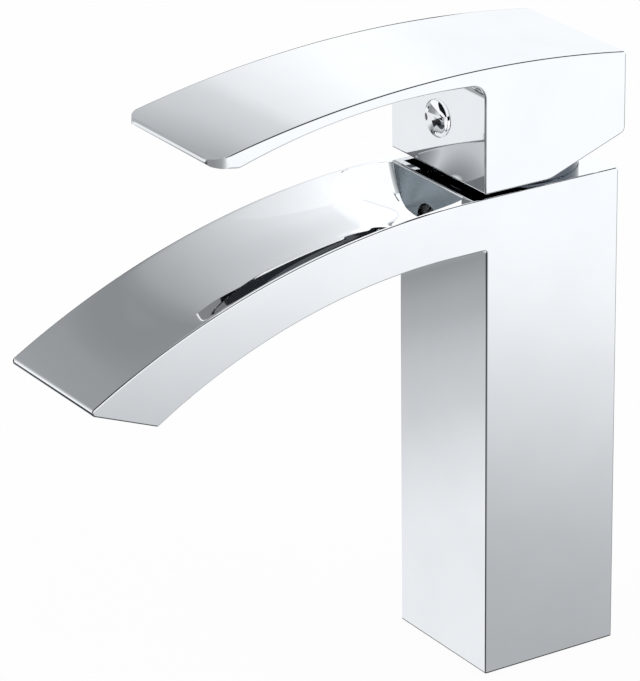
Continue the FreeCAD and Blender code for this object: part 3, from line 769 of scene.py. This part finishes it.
class Nodes:
    """The node tree of a material or a world, emptied but for its output and the coordinates."""

    def __init__(self, owner, kind="Material", coordinates="Object"):
        owner.use_nodes = True
        self.tree = owner.node_tree
        self.tree.nodes.clear()
        self.output = self.add("Output" + kind)
        self.place = self.get("TexCoord", socket=coordinates)
        self.axes = self.add("SeparateXYZ", {"Vector": self.place}).outputs

    def feed(self, made, inputs):
        """Sets a node's inputs: values are written, and sockets of other nodes are linked."""
        for name, value in inputs.items():
            if isinstance(value, bpy.types.NodeSocket):
                self.tree.links.new(value, made.inputs[name])
            else:
                made.inputs[name].default_value = value

    def add(self, kind, inputs=(), **settings):
        """A new node with its settings and inputs."""
        made = self.tree.nodes.new("ShaderNode" + kind)
        for name, value in settings.items():
            setattr(made, name, value)
        self.feed(made, dict(inputs))
        return made

    def get(self, kind, inputs=(), socket=0, **settings):
        """One result of a new node."""
        return self.add(kind, inputs, **settings).outputs[socket]

    def sum(self, operation, first, second=0.0, clamp=False):
        """One sum on two values."""
        return self.get("Math", {0: first, 1: second}, operation=operation, use_clamp=clamp)

    def less(self, value, limit):
        """1 where a value is under a limit, and 0 elsewhere."""
        return self.sum("LESS_THAN", value, limit)

    def greater(self, value, limit):
        """1 where a value is over a limit, and 0 elsewhere."""
        return self.sum("GREATER_THAN", value, limit)

    def all(self, first, *others):
        """1 where all of some tests hold."""
        for other in others:
            first = self.sum("MULTIPLY", first, other)
        return first

    def line(self, x, y, scale_x, scale_y, start):
        """start + scale_x * x + scale_y * y."""
        first = self.get("Math", {0: x, 1: scale_x, 2: start}, operation="MULTIPLY_ADD")
        return self.sum("ADD", first, self.sum("MULTIPLY", y, scale_y))

    def length(self, x, y):
        """The length of (x, y)."""
        flat_place = self.get("CombineXYZ", {"X": x, "Y": y})
        return self.get("VectorMath", {0: flat_place}, "Value", operation="LENGTH")

    def between(self, value, low, high, first, last):
        """A straight run from first at low to last at high, held at its ends."""
        inputs = {"Value": value, "From Min": low, "From Max": high, "To Min": first, "To Max": last}
        return self.get("MapRange", inputs)

    def noise(self, scale, detail=3.0):
        """Soft noise of a scale, counted in waves to the metre."""
        return self.get("TexNoise", {"Vector": self.place, "Scale": scale, "Detail": detail}, "Fac")

    def spread(self, value, low, high):
        """A noise's middle range mapped to low and high."""
        return self.between(value, NOISE_LOW, NOISE_HIGH, low, high)

    def ramp(self, value, stops):
        """The colour of a value on a ramp of (place, colour) stops."""
        made = self.add("ValToRGB", {"Fac": value})
        elements = made.color_ramp.elements
        while len(elements) < len(stops):
            elements.new(1.0)
        for element, (place, colour) in zip(elements, stops):
            element.position = place
            element.color = colour
        return made.outputs["Color"]

    def mix(self, factor, first, second, blend="MIX"):
        """The second colour over the first, by a factor."""
        inputs = {0: factor, 6: first, 7: second}
        return self.get("Mix", inputs, 2, data_type="RGBA", clamp_factor=True, blend_type=blend)

    def choose(self, factor, first, second):
        """The first shader where a factor is 0 and the second where it is 1."""
        return self.get("MixShader", {0: factor, 1: first, 2: second})


print("noise is spread out from", NOISE_LOW, "to", NOISE_HIGH)

# %% [markdown]
# ## Polished chrome
# Chrome is a mirror with a faint cool tint, so nearly all its look is what it reflects. A perfectly even
# mirror looks like a drawing: real plating has a breath of haze that differs from place to place, so the
# roughness and the tint follow soft noise. The well's back wall and the chamber have a grey satin haze and a
# darker tint, painted shade in these recesses, which a mask on the object's coordinates picks out, and the
# bonnet is a darker chrome, painted shade in the gap under the block.

# %% Chrome
CHROME_TINTS = ((0.905, 0.912, 0.920, 1.0), (0.930, 0.935, 0.942, 1.0))
# The bonnet's tints are dark as painted shade for the gap under the block.
BONNET_SHADE_TINTS = ((0.105, 0.120, 0.140, 1.0), (0.125, 0.140, 0.165, 1.0))
# The wall's tints are painted shade: they draw the well's back wall and the chamber darker than the chrome.
WALL_SHADE_TINTS = ((0.40, 0.46, 0.50, 1.0), (0.44, 0.50, 0.55, 1.0))
CLOUDS, SCRATCHES, SATIN_GRAIN = 45.0, 2600.0, 120.0
TINT_LOW, TINT_HIGH, SCRATCH_DETAIL = 0.35, 0.65, 2.0
CLOUD_HAZE, SCRATCH_HAZE, SATIN_HAZE = (0.020, 0.034), (0.0, 0.010), (0.42, 0.50)
WALL_SLACK = 0.00005


def new_finish(name):
    """A new material, its nodes and its one Principled shader."""
    material = bpy.data.materials.new(name)
    nodes = Nodes(material)
    shader = nodes.add("BsdfPrincipled")
    nodes.feed(nodes.output, {"Surface": shader.outputs["BSDF"]})
    return material, nodes, shader


def chrome_finish(name, tints):
    """Chrome: tint and roughness drift with noise, and fine scratches lift the roughness a little."""
    material, nodes, shader = new_finish(name)
    drift, fine = nodes.noise(CLOUDS), nodes.noise(SCRATCHES, SCRATCH_DETAIL)
    tint = nodes.ramp(drift, [(TINT_LOW, tints[0]), (TINT_HIGH, tints[1])])
    haze = nodes.sum("ADD", nodes.spread(drift, *CLOUD_HAZE), nodes.spread(fine, *SCRATCH_HAZE))
    nodes.feed(shader, {"Base Color": tint, "Roughness": haze, "Metallic": 1.0})
    return material, nodes, shader, tint, haze


def within(nodes, value, middle, slack):
    """1 where a value is nearer to the middle than the slack, and 0 elsewhere."""
    return nodes.less(nodes.sum("ABSOLUTE", nodes.sum("SUBTRACT", value, middle)), slack)


chrome = chrome_finish("polished_chrome", CHROME_TINTS)[0]
# The bonnet's darker chrome is painted shade under the block, not a finish of its own.
shaded_bonnet_chrome = chrome_finish("shaded_bonnet_chrome", BONNET_SHADE_TINTS)[0]
body_chrome, nodes, shader, tint, haze = chrome_finish("cast_body_chrome", CHROME_TINTS)
x, y, z = nodes.axes
# The mask picks out the well's back wall and the chamber, whose darker tint is painted shade in these
# recesses.
on_wall = nodes.all(
    within(nodes, y, HEAD_FRONT, WALL_SLACK),
    within(nodes, z, BODY_TOP - WELL_DEPTH / 2.0, WELL_DEPTH / 2.0),
    within(nodes, x, 0.0, WELL_HALF_WIDTH),
)
near_axis = nodes.less(nodes.length(x, y), CHAMBER_RADIUS + WALL_SLACK)
in_chamber = nodes.all(near_axis, nodes.greater(z, CHAMBER_FLOOR - WALL_SLACK))
recess_shade_mask = nodes.sum("MAXIMUM", on_wall, in_chamber)
satin_drift = nodes.noise(SATIN_GRAIN)
wall_shade_tint = nodes.ramp(satin_drift, [(NOISE_LOW, WALL_SHADE_TINTS[0]), (NOISE_HIGH, WALL_SHADE_TINTS[1])])
satin_haze = nodes.sum("MULTIPLY", nodes.spread(satin_drift, *SATIN_HAZE), recess_shade_mask)
haze = nodes.sum("ADD", haze, satin_haze)
nodes.feed(shader, {"Base Color": nodes.mix(recess_shade_mask, tint, wall_shade_tint), "Roughness": haze})
for piece, finish in ((body, body_chrome), (handle, chrome), (plug, chrome), (bonnet, shaded_bonnet_chrome)):
    piece.data.materials.clear()
    piece.data.materials.append(finish)
    print(finish.name, "on", piece.name)

# %% [markdown]
# ## The finishes inside
# The pieces of the cartridge hardly show, but each has its own finish when the handle is lifted off:
# enamel, lapped ceramic, moulded plastics, rubber, turned brass and turned steel. One function makes them
# all from a colour, how far it varies, a grain, a roughness range and whether it is a metal.

# %% Enamel, ceramic, plastics, rubber, brass and steel
FINISHES = {
    "black_enamel": ((0.012, 0.012, 0.014), 0.30, 900.0, (0.10, 0.20), 0.0),
    "ceramic": ((0.87, 0.86, 0.82), 0.05, 700.0, (0.16, 0.26), 0.0),
    "cartridge_plastic": ((0.78, 0.78, 0.75), 0.06, 1500.0, (0.42, 0.58), 0.0),
    "guide_plastic": ((0.075, 0.080, 0.095), 0.15, 1500.0, (0.40, 0.55), 0.0),
    "seal_rubber": ((0.022, 0.022, 0.025), 0.25, 2500.0, (0.65, 0.85), 0.0),
    "brass": ((0.74, 0.53, 0.23), 0.08, 300.0, (0.22, 0.34), 1.0),
    "steel": ((0.56, 0.56, 0.57), 0.07, 400.0, (0.20, 0.32), 1.0),
}
RELIEF, RELIEF_STRENGTH = 0.00002, 0.4


def plain_finish(name, colour, vary, grain, rough, metal):
    """A finish whose colour, times 1 - vary to 1 + vary, and roughness drift with noise, and a relief."""
    material, nodes, shader = new_finish(name)
    drift = nodes.noise(grain)
    dark, pale = (tuple(part * (1.0 + sign * vary) for part in colour) + (1.0,) for sign in (-1, 1))
    relief = {"Height": nodes.noise(grain * 2.0), "Distance": RELIEF, "Strength": RELIEF_STRENGTH}
    colours = nodes.ramp(drift, [(NOISE_LOW, dark), (NOISE_HIGH, pale)])
    nodes.feed(shader, {"Base Color": colours, "Roughness": nodes.spread(drift, *rough), "Metallic": metal})
    nodes.feed(shader, {"Normal": nodes.get("Bump", relief)})
    return material


finishes = {name: plain_finish(name, *values) for name, values in FINISHES.items()}
finishes["chrome"] = chrome
slot_of = {row["node"]: row["material_slot"] for row in frame["record"]["subparts"]}
for name, part in frame["nodes"].items():
    part.data.materials.clear()
    part.data.materials.append(finishes[slot_of[name]])
for disc in (hot_disc, cold_disc):
    disc.data.materials.append(finishes["black_enamel"])
print("finishes:", sorted(finishes))

# %% [markdown]
# ## Sheets of the stage
# A studio is built of paper and card. A sheet could be a plane that is scaled and turned into place, but with
# its place in its mesh a sheet's own coordinates are real lengths, and its tones can be given by millimetres.

# %% Sheets and their tones
def flat(corner, along, across):
    """The four points of a flat card: point (i, j) is the corner plus i of one side and j of the other."""
    corner, along, across = (np.array(vector, float) for vector in (corner, along, across))
    share = np.array([0.0, 1.0])
    return corner + share[:, None, None] * along + share[None, :, None] * across


def stand(name, grid):
    """A sheet on the stage through a grid of points."""
    mesh = bpy.data.meshes.new(name)
    mesh.from_pydata(grid.reshape(-1, 3).tolist(), [], grid_faces(*grid.shape[:2]).tolist())
    sheet = bpy.data.objects.new(name, mesh)
    scene.collection.objects.link(sheet)
    return sheet


def stage_material(sheet):
    """The nodes of a new material on a sheet, and the sheet's own coordinates in millimetres."""
    material = bpy.data.materials.new(sheet.name)
    sheet.data.materials.append(material)
    nodes = Nodes(material)
    return nodes, [nodes.sum("MULTIPLY", axis, MM) for axis in nodes.axes]


def tones(nodes, value, stops, cool=3.0):
    """A ramp of screen tones over lengths in millimetres."""
    start, span = stops[0][0], stops[-1][0] - stops[0][0]
    share = nodes.sum("DIVIDE", nodes.sum("SUBTRACT", value, start), span, clamp=True)
    return nodes.ramp(share, [((length - start) / span, grey(tone, cool)) for length, tone in stops])


sheet_corners = flat((0, 0, 0), (1, 0, 0), (0, 1, 0)).reshape(-1, 3)
print("the corners of a sheet run in this order:", sheet_corners.tolist())

# %% [markdown]
# ## The floor
# The faucet stands on a plain pale floor that runs on to the white of the background. The camera sees it
# white with a faint shadow. What the chrome sees of it is a little richer, as a studio lays dark card on the
# floor to draw the thin black lines on a mirror's edges: the floor is graded, dark before the spout's nose
# and in two fans that open from the column's corners, with a black line round the foot.

# %% Lay the floor
FLOOR_HALF, FLOOR_LEVEL = 6.0, -0.0004
FLOOR_COLOUR, FLOOR_WHITE = (0.95, 0.95, 0.95, 1.0), 0.95
RIGHT_STOPS = [
    (20, 175), (53, 181), (96, 190), (142, 205), (193, 221), (215, 227), (241, 236), (273, 243), (308, 247),
    (340, 250), (410, 252),
]
LEFT_STOPS = [
    (-370, 235), (-310, 235), (-240, 147), (-221, 165), (-203, 174), (-186, 187), (-172, 194), (-155, 200),
    (-139, 205), (-112, 220), (-72, 233), (30, 236),
]
DARK_STOPS = [(0, 6), (120, 14), (340, 55), (540, 140), (800, 225)]
RIGHT_LINE = (0.62, 0.79, 0.0)
FRONT_CORNER, FRONT_FAN = (21.0, -21.5), (-132.0, -8.0, 70.0)
BACK_CORNER, BACK_FAN = (21.5, 21.5), (50.0, 84.0, 1.0)
NOSE_FLOOR, NOSE_FLOOR_END, NOSE_LINE = 50, -340.0, (-0.635, 1.0, 61.0)
FOOT_LINE, FOOT_TONE = 1.0, 6
MIRROR_LIGHT = 1.09


def dark_fan(nodes, seen, x, y, corner, fan):
    """A tone with a dark fan laid over it: between two angles round a corner, black near the corner and paler
    further out, up to the last of its stops. It fades over its last degrees, the third of its numbers."""
    start, end, fade = (math.radians(part) for part in fan)
    from_x, from_y = (nodes.sum("SUBTRACT", axis, middle) for axis, middle in zip((x, y), corner))
    angle = nodes.sum("ARCTAN2", from_y, from_x)
    fading = nodes.sum("DIVIDE", nodes.sum("SUBTRACT", end, angle), fade, clamp=True)
    reach = nodes.length(from_x, from_y)
    inside = nodes.all(nodes.greater(angle, start), fading, nodes.less(reach, DARK_STOPS[-1][0]))
    return nodes.mix(inside, seen, tones(nodes, reach, DARK_STOPS))


def show(nodes, matt, camera, mirror):
    """What lights the matt pieces, what the camera sees and what reflections see, each by its kind of ray."""
    path = nodes.add("LightPath").outputs
    mirrored = nodes.sum("MAXIMUM", path["Is Glossy Ray"], path["Is Transmission Ray"])
    plain = nodes.choose(path["Is Camera Ray"], matt, camera)
    nodes.feed(nodes.output, {"Surface": nodes.choose(mirrored, plain, mirror)})


floor_grid = flat((-FLOOR_HALF, -FLOOR_HALF, FLOOR_LEVEL), (2 * FLOOR_HALF, 0, 0), (0, 2 * FLOOR_HALF, 0))
nodes, (x, y, _) = stage_material(stand("studio_floor", floor_grid))
before_nose = nodes.all(nodes.less(nodes.line(x, y, *NOSE_LINE), 0.0), nodes.greater(x, NOSE_FLOOR_END))
left_tone = nodes.mix(before_nose, tones(nodes, x, LEFT_STOPS), grey(NOSE_FLOOR, 3))
right_tone = tones(nodes, nodes.line(x, y, *RIGHT_LINE), RIGHT_STOPS)
seen_tone = nodes.mix(nodes.greater(x, FRONT_CORNER[0]), left_tone, right_tone)
for corner, fan in ((FRONT_CORNER, FRONT_FAN), (BACK_CORNER, BACK_FAN)):
    seen_tone = dark_fan(nodes, seen_tone, x, y, corner, fan)
from_middle = nodes.sum("MAXIMUM", nodes.sum("ABSOLUTE", x), nodes.sum("ABSOLUTE", y))
at_foot = nodes.less(from_middle, BODY_BACK * MM + FOOT_LINE)
seen_tone = nodes.mix(at_foot, seen_tone, grey(FOOT_TONE))
white = nodes.get("Emission", {"Color": WHITE, "Strength": 1.0})
lit = nodes.get("BsdfDiffuse", {"Color": FLOOR_COLOUR})
to_mirror = nodes.get("Emission", {"Color": seen_tone, "Strength": MIRROR_LIGHT})
show(nodes, lit, nodes.choose(FLOOR_WHITE, lit, white), to_mirror)
print("floor laid,", 2 * FLOOR_HALF, "m wide")

# %% [markdown]
# ## What the chrome sees
# A mirror needs something to mirror, so cards stand where the chrome looks, and each shows its own tones. The
# tall one to the left gives the trough its slow change from grey to white. A picture could hold such tones,
# but a formula of the place stays sharp and is easy to change. A mirror that sees a mirror looks darker, so a
# card has other tones for a second and a third reflection, which draw the dark line along the trough's side.

# %% Tones of the tall card
TROUGH_STOPS = [
    (-260, 215), (-210, 195), (-175, 160), (-160, 153), (-145, 150), (-136, 144), (-124, 139), (-114, 138),
    (-109, 147), (-104, 163), (-98, 174), (-91, 186), (-82, 197), (-73, 209), (-64, 223), (-56, 233),
    (-49, 243), (-43, 251), (-37, 255),
]
AGAIN_STOPS = [(-70, 116), (-57, 122), (-48, 194), (-31, 204), (-17, 214), (0, 229), (25, 240), (60, 250)]
ALONG_TOP, ALONG_FOOT = (1.0, -0.957, 95.8), (0.0, 0.011, -0.528)
LEAN_BY_HEIGHT, LEAN_BY_PLACE = (165.0, 300.0, -7.0, 6.0), (-90.0, -62.0, 0.0, 1.0)
LOW_FOOT, LOW_TOP, LOW_SLOPE, LOW_BEND = 145.0, 157.0, -0.45, -64.0
LOW_EDGES = [(-74.5, 250), (-73.8, 127), (-61.5, 16)]
PALE_START, PALE_FRONT, PALE = -65.0, -45.0, 246
AGAIN_TOP, AGAIN_SLOPE, AGAIN_LINE, AGAIN_START = 191.5, -0.68, 9.0, -68.0
AGAIN_PALE, AGAIN_DARK, THIRD_DARK = 248, 38, 85
SECOND, THIRD = 1.5, 2.5


def by_depth(nodes, once, twice, more):
    """The tone that a first, a second and a further reflection see."""
    depth = nodes.get("LightPath", socket="Glossy Depth")
    early = nodes.mix(nodes.greater(depth, SECOND), once, twice)
    return nodes.mix(nodes.greater(depth, THIRD), early, more)


def tall_tone(nodes, x, y, z):
    """The tall card: the place along the spout from which the trough sees (y, z), as the quotient of two
    straight lines, gives the tone. Low down it is black behind, grey in front, and ends in a white line."""
    along = nodes.sum("DIVIDE", nodes.line(y, z, *ALONG_TOP), nodes.line(y, z, *ALONG_FOOT))
    lean = nodes.sum("MULTIPLY", nodes.between(z, *LEAN_BY_HEIGHT), nodes.between(along, *LEAN_BY_PLACE))
    plain = once = tones(nodes, nodes.sum("ADD", along, lean), TROUGH_STOPS)
    slope = nodes.line(y, z, LOW_SLOPE, 0.0, LOW_TOP - LOW_BEND * LOW_SLOPE)
    low = nodes.less(z, nodes.sum("MINIMUM", slope, LOW_TOP))
    for edge, tone in LOW_EDGES:
        once = nodes.mix(nodes.all(low, nodes.greater(y, edge)), once, grey(tone, 2))
    pale = nodes.sum("MAXIMUM", nodes.greater(y, PALE_FRONT), nodes.greater(LOW_FOOT, z))
    pale = nodes.all(pale, low, nodes.greater(y, PALE_START))
    once = nodes.mix(pale, once, grey(PALE, 2))
    over = nodes.sum("SUBTRACT", z, nodes.line(y, z, AGAIN_SLOPE, 0.0, AGAIN_TOP))
    again, behind = tones(nodes, y, AGAIN_STOPS), nodes.greater(y, AGAIN_START)
    twice = nodes.mix(nodes.greater(over, AGAIN_LINE), grey(AGAIN_PALE), again)
    twice = nodes.mix(nodes.greater(over, 0.0), grey(AGAIN_DARK, 4), twice)
    twice = nodes.mix(behind, again, twice)
    return by_depth(nodes, once, twice, nodes.mix(behind, plain, grey(THIRD_DARK, 4)))


print("a trough tone for each of", len(TROUGH_STOPS), "places")

# %% [markdown]
# ## What the lever and the well see
# The lever's top brightens along one slanting line, so its card is a ramp over that line. Over and round the
# well the trough would mirror the lever and the block, which mirror it in turn. That could be left to the
# real faces, but in the photograph each of these reflections ends in one tone, so small cards give the tones.

# %% Tones of the other cards
LEVER_STOPS = [
    (-246, 172), (-241, 185), (-234, 202), (-224, 215), (-218, 232), (-208, 242), (-200, 248), (-190, 255),
    (-173, 255), (-164, 251), (-156, 248), (-107, 247),
]
ROOF_AGAIN_STOPS = [(-80, 208), (-60, 195), (-52, 178), (-46, 160), (-41, 140), (-39.5, 240), (-28, 250)]
SIDE_AGAIN_STOPS = [(138, 112), (150, 155), (165, 205)]
LEVER_LINE, ROOF_LINE, NEAR_SHIFT = (1.0, -0.8, 0.0), (0.87, 0.0, -10.0), -16.0
ROOF_RIM, ROOF_PALE, ROOF_DARK, ROOF_CORNERS = -17.0, 252, 22, ((18.0, -46.0), (0.0, -36.0))
NEAR_END, NEAR_DARK = -55.0, 24
OVER_WHITE = (1.10, 1.10, 1.10, 1.0)
WELL_WHITE, WELL_THIRD, STRIP_BLACK, STRIP_AGAIN = 254, 35, 14, 250


def lever_tone(nodes, x, y, z):
    """The lever's card: a tone by y - 0.8 z, the line along which the lever's top brightens."""
    return tones(nodes, nodes.line(y, z, *LEVER_LINE), LEVER_STOPS)


def roof_tone(nodes, x, y, z):
    """The card under the lever: the tone of the trough's far side, then what the rim sees, white in front
    and dark behind, and greys along y for a second reflection."""
    once = tones(nodes, nodes.line(y, x, *ROOF_LINE), TROUGH_STOPS)
    once = nodes.mix(nodes.greater(x, ROOF_RIM), once, grey(ROOF_PALE, 2))
    for edge_x, edge_y in ROOF_CORNERS:
        corner = nodes.all(nodes.greater(x, edge_x), nodes.greater(y, edge_y))
        once = nodes.mix(corner, once, grey(ROOF_DARK, 3))
    again = tones(nodes, y, ROOF_AGAIN_STOPS)
    return by_depth(nodes, once, again, again)


def near_tone(nodes, x, y, z):
    """The card over the near rim: the tone of the trough's other side, and for a second reflection a grey
    that darkens downwards, with a dark end that the plug's side sees."""
    once = tones(nodes, nodes.sum("ADD", y, NEAR_SHIFT), TROUGH_STOPS)
    again = nodes.mix(nodes.greater(y, NEAR_END), tones(nodes, z, SIDE_AGAIN_STOPS), grey(NEAR_DARK, 4))
    return by_depth(nodes, once, again, again)


def pale_tone(nodes, x, y, z):
    """White, whiter to a second reflection to make up for the first, and dark to a third."""
    return by_depth(nodes, grey(WELL_WHITE), OVER_WHITE, grey(WELL_THIRD, 3))


def black_tone(nodes, x, y, z):
    """Black with a cool breath, and white to a second reflection."""
    again = grey(STRIP_AGAIN, 2)
    return by_depth(nodes, grey(STRIP_BLACK, 3), again, again)


print("a lever tone for each of", len(LEVER_STOPS), "places")

# %% [markdown]
# ## Cards round the faucet
# Now the cards are stood up: the tall one to the left, two beside the lever, pale ones over and round the
# well, and low black strips along the far edges that draw their thin lines. Lamps could show in the chrome
# too, but they would also light the floor. A card shows only to reflections and only on its face, so it casts
# no shadow and stays out of the picture.

# %% Stand the cards
STRIP_GAP, STRIP_BELOW, STRIP_ABOVE, STRIP_TAPER = 0.0006, 0.0006, 0.0006, 0.030
STRIP_START, STRIP_STOP, STRIP_POINTS = 0.0005, 0.008, 80


def reflected_card(name, grid, colour_of):
    """A card that only reflections see. It glows on its face, which looks along across x along, and its back
    is clear."""
    card = stand(name, grid)
    nodes, axes = stage_material(card)
    glow = nodes.get("Emission", {"Color": colour_of(nodes, *axes), "Strength": MIRROR_LIGHT})
    back = nodes.get("NewGeometry", socket="Backfacing")
    seen = nodes.choose(back, glow, nodes.get("BsdfTransparent"))
    nodes.feed(nodes.output, {"Surface": seen})
    for ray in ("camera", "diffuse", "shadow", "transmission", "volume_scatter"):
        setattr(card, "visible_" + ray, False)


def edge_strip(side, y, z):
    """A low strip beside a far edge: it follows the edge's (y, z), a little way out from the side, and its
    height over the edge runs out over the last few centimetres."""
    x = np.full(len(y), side - STRIP_GAP)
    height = STRIP_ABOVE * np.clip((y[-1] - y) / STRIP_TAPER, 0.0, 1.0)
    return np.stack([np.stack([x, y, z - STRIP_BELOW], axis=1), np.stack([x, y, z + height], axis=1)])


spout_y = np.linspace(LIP_REACH + STRIP_START, WELL_START - STRIP_STOP, STRIP_POINTS)
lever_y = np.linspace(tip_top[0] + STRIP_START, HANDLE_BACK, STRIP_POINTS)
spout_edge = on_circle(spout_centre, SPOUT_RADIUS, spout_y)
lever_edge = on_circle(LEVER_TOP_CENTRE, LEVER_TOP_RADIUS, lever_y)
CARDS = {
    "tall_card": (flat((-0.100, -0.450, 0.136), (0, 0, 0.864), (0, 0.750, 0)), tall_tone),
    "lever_card": (flat((-0.024, -0.125, 0.1735), (0, 0, 0.0435), (0, 0.200, 0)), lever_tone),
    "lever_tip_card": (flat((-0.024, -0.125, 0.1665), (0, 0, 0.0070), (0, 0.040, 0)), lever_tone),
    "roof_card": (flat((-0.0235, -0.106, 0.1645), (0.046, 0, 0), (0, 0.0825, 0)), roof_tone),
    "near_card": (flat((0.0205, -0.120, 0.118), (0, 0.0932, 0), (0, 0, 0.0465)), near_tone),
    "well_side_card": (flat((0.0163, -0.048, 0.1285), (0, 0.0212, 0), (0, 0, 0.0285)), pale_tone),
    "well_back_card": (flat((-0.0240, -0.02655, 0.1288), (0, 0, 0.0357), (0.0403, 0, 0)), pale_tone),
    "spout_strip": (edge_strip(-BODY_HALF_WIDTH, *spout_edge), black_tone),
    "lever_strip": (edge_strip(-HANDLE_HALF_WIDTH, *lever_edge), black_tone),
}
for name, (grid, colour_of) in CARDS.items():
    reflected_card(name, grid, colour_of)
print(len(CARDS), "cards stand round the faucet")

# %% [markdown]
# ## World and lamps
# The world is white to the camera and lights the matt pieces evenly. To the chrome it is a studio: white
# round the horizon, dark in front and overhead, and paler at the very top. A picture of a real studio could
# be wrapped round the scene instead, but two ramps say the same. Two soft lamps give the floor a faint shadow
# and stay out of the mirror, so that the colours render about as they are written.

# %% World and lamps
ELEVATION_STOPS = [
    (0.0, grey(250, 2)), (0.52, grey(248, 3)), (0.62, grey(50, 4)), (0.70, grey(10)), (0.955, grey(10)),
    (0.985, grey(170, 3)), (1.0, grey(210, 3)),
]
FRONT_STOPS = [(0.0, grey(255)), (0.55, grey(250)), (0.80, grey(90, 4)), (1.0, grey(60, 4))]
FRONT_X, FRONT_Y = 0.30, -0.95
EVEN_LIGHT = 0.75
LAMPS = {"key_lamp": ((-0.7, -0.9, 1.3), 3.0), "fill_lamp": ((1.0, 0.6, 1.1), 1.5)}
LAMP_SIZE = 0.9

scene.view_settings.view_transform = "Standard"
world = bpy.data.worlds.new("studio")
scene.world = world
nodes = Nodes(world, "World", "Generated")
x, y, z = nodes.axes
to_front = nodes.sum("ADD", nodes.sum("MULTIPLY", x, FRONT_X), nodes.sum("MULTIPLY", y, FRONT_Y))
studio = nodes.mix(1.0, nodes.ramp(z, ELEVATION_STOPS), nodes.ramp(to_front, FRONT_STOPS), "MULTIPLY")
backgrounds = ((WHITE, EVEN_LIGHT), (WHITE, 1.0), (studio, MIRROR_LIGHT))
show(nodes, *[nodes.get("Background", {"Color": colour, "Strength": light}) for colour, light in backgrounds])

faucet_middle = (cad_low + cad_high) / 2.0
for name, (place, watts) in LAMPS.items():
    lamp = bpy.data.lights.new(name, "AREA")
    lamp.size = LAMP_SIZE
    lamp.energy = watts
    holder = bpy.data.objects.new(name, lamp)
    scene.collection.objects.link(holder)
    holder.location = place
    holder.rotation_euler = (faucet_middle - Vector(place)).to_track_quat("-Z", "Y").to_euler()
    holder.visible_glossy = False
print("lamps", list(LAMPS), "look at", [round(part, 3) for part in faucet_middle])

# %% [markdown]
# ## The camera
# The photograph was taken from well back with a long lens, from the right and a little above. The place,
# the aim and the slight roll come from lining up the column's and the handle's edges with the picture.

# %% Place the camera
CAMERA_PLACE = Vector((0.92693, -0.64892, 0.55706))
CAMERA_AIM = Vector((0.0, -0.06109, 0.10199))
CAMERA_ROLL = math.radians(-0.682)
LENS, SENSOR, CLIP_START = 235.18, 36.0, 0.01
camera_data = bpy.data.cameras.new("camera")
camera_data.lens = LENS
camera_data.sensor_width = SENSOR
camera_data.clip_start = CLIP_START
camera = bpy.data.objects.new("camera", camera_data)
scene.collection.objects.link(camera)
look = (CAMERA_AIM - CAMERA_PLACE).to_track_quat("-Z", "Y").to_matrix()
turn = look @ Matrix.Rotation(CAMERA_ROLL, 3, "Z")
camera.matrix_world = Matrix.Translation(CAMERA_PLACE) @ turn.to_4x4()
scene.camera = camera
print("camera is", round((CAMERA_AIM - CAMERA_PLACE).length, 3), "m away")
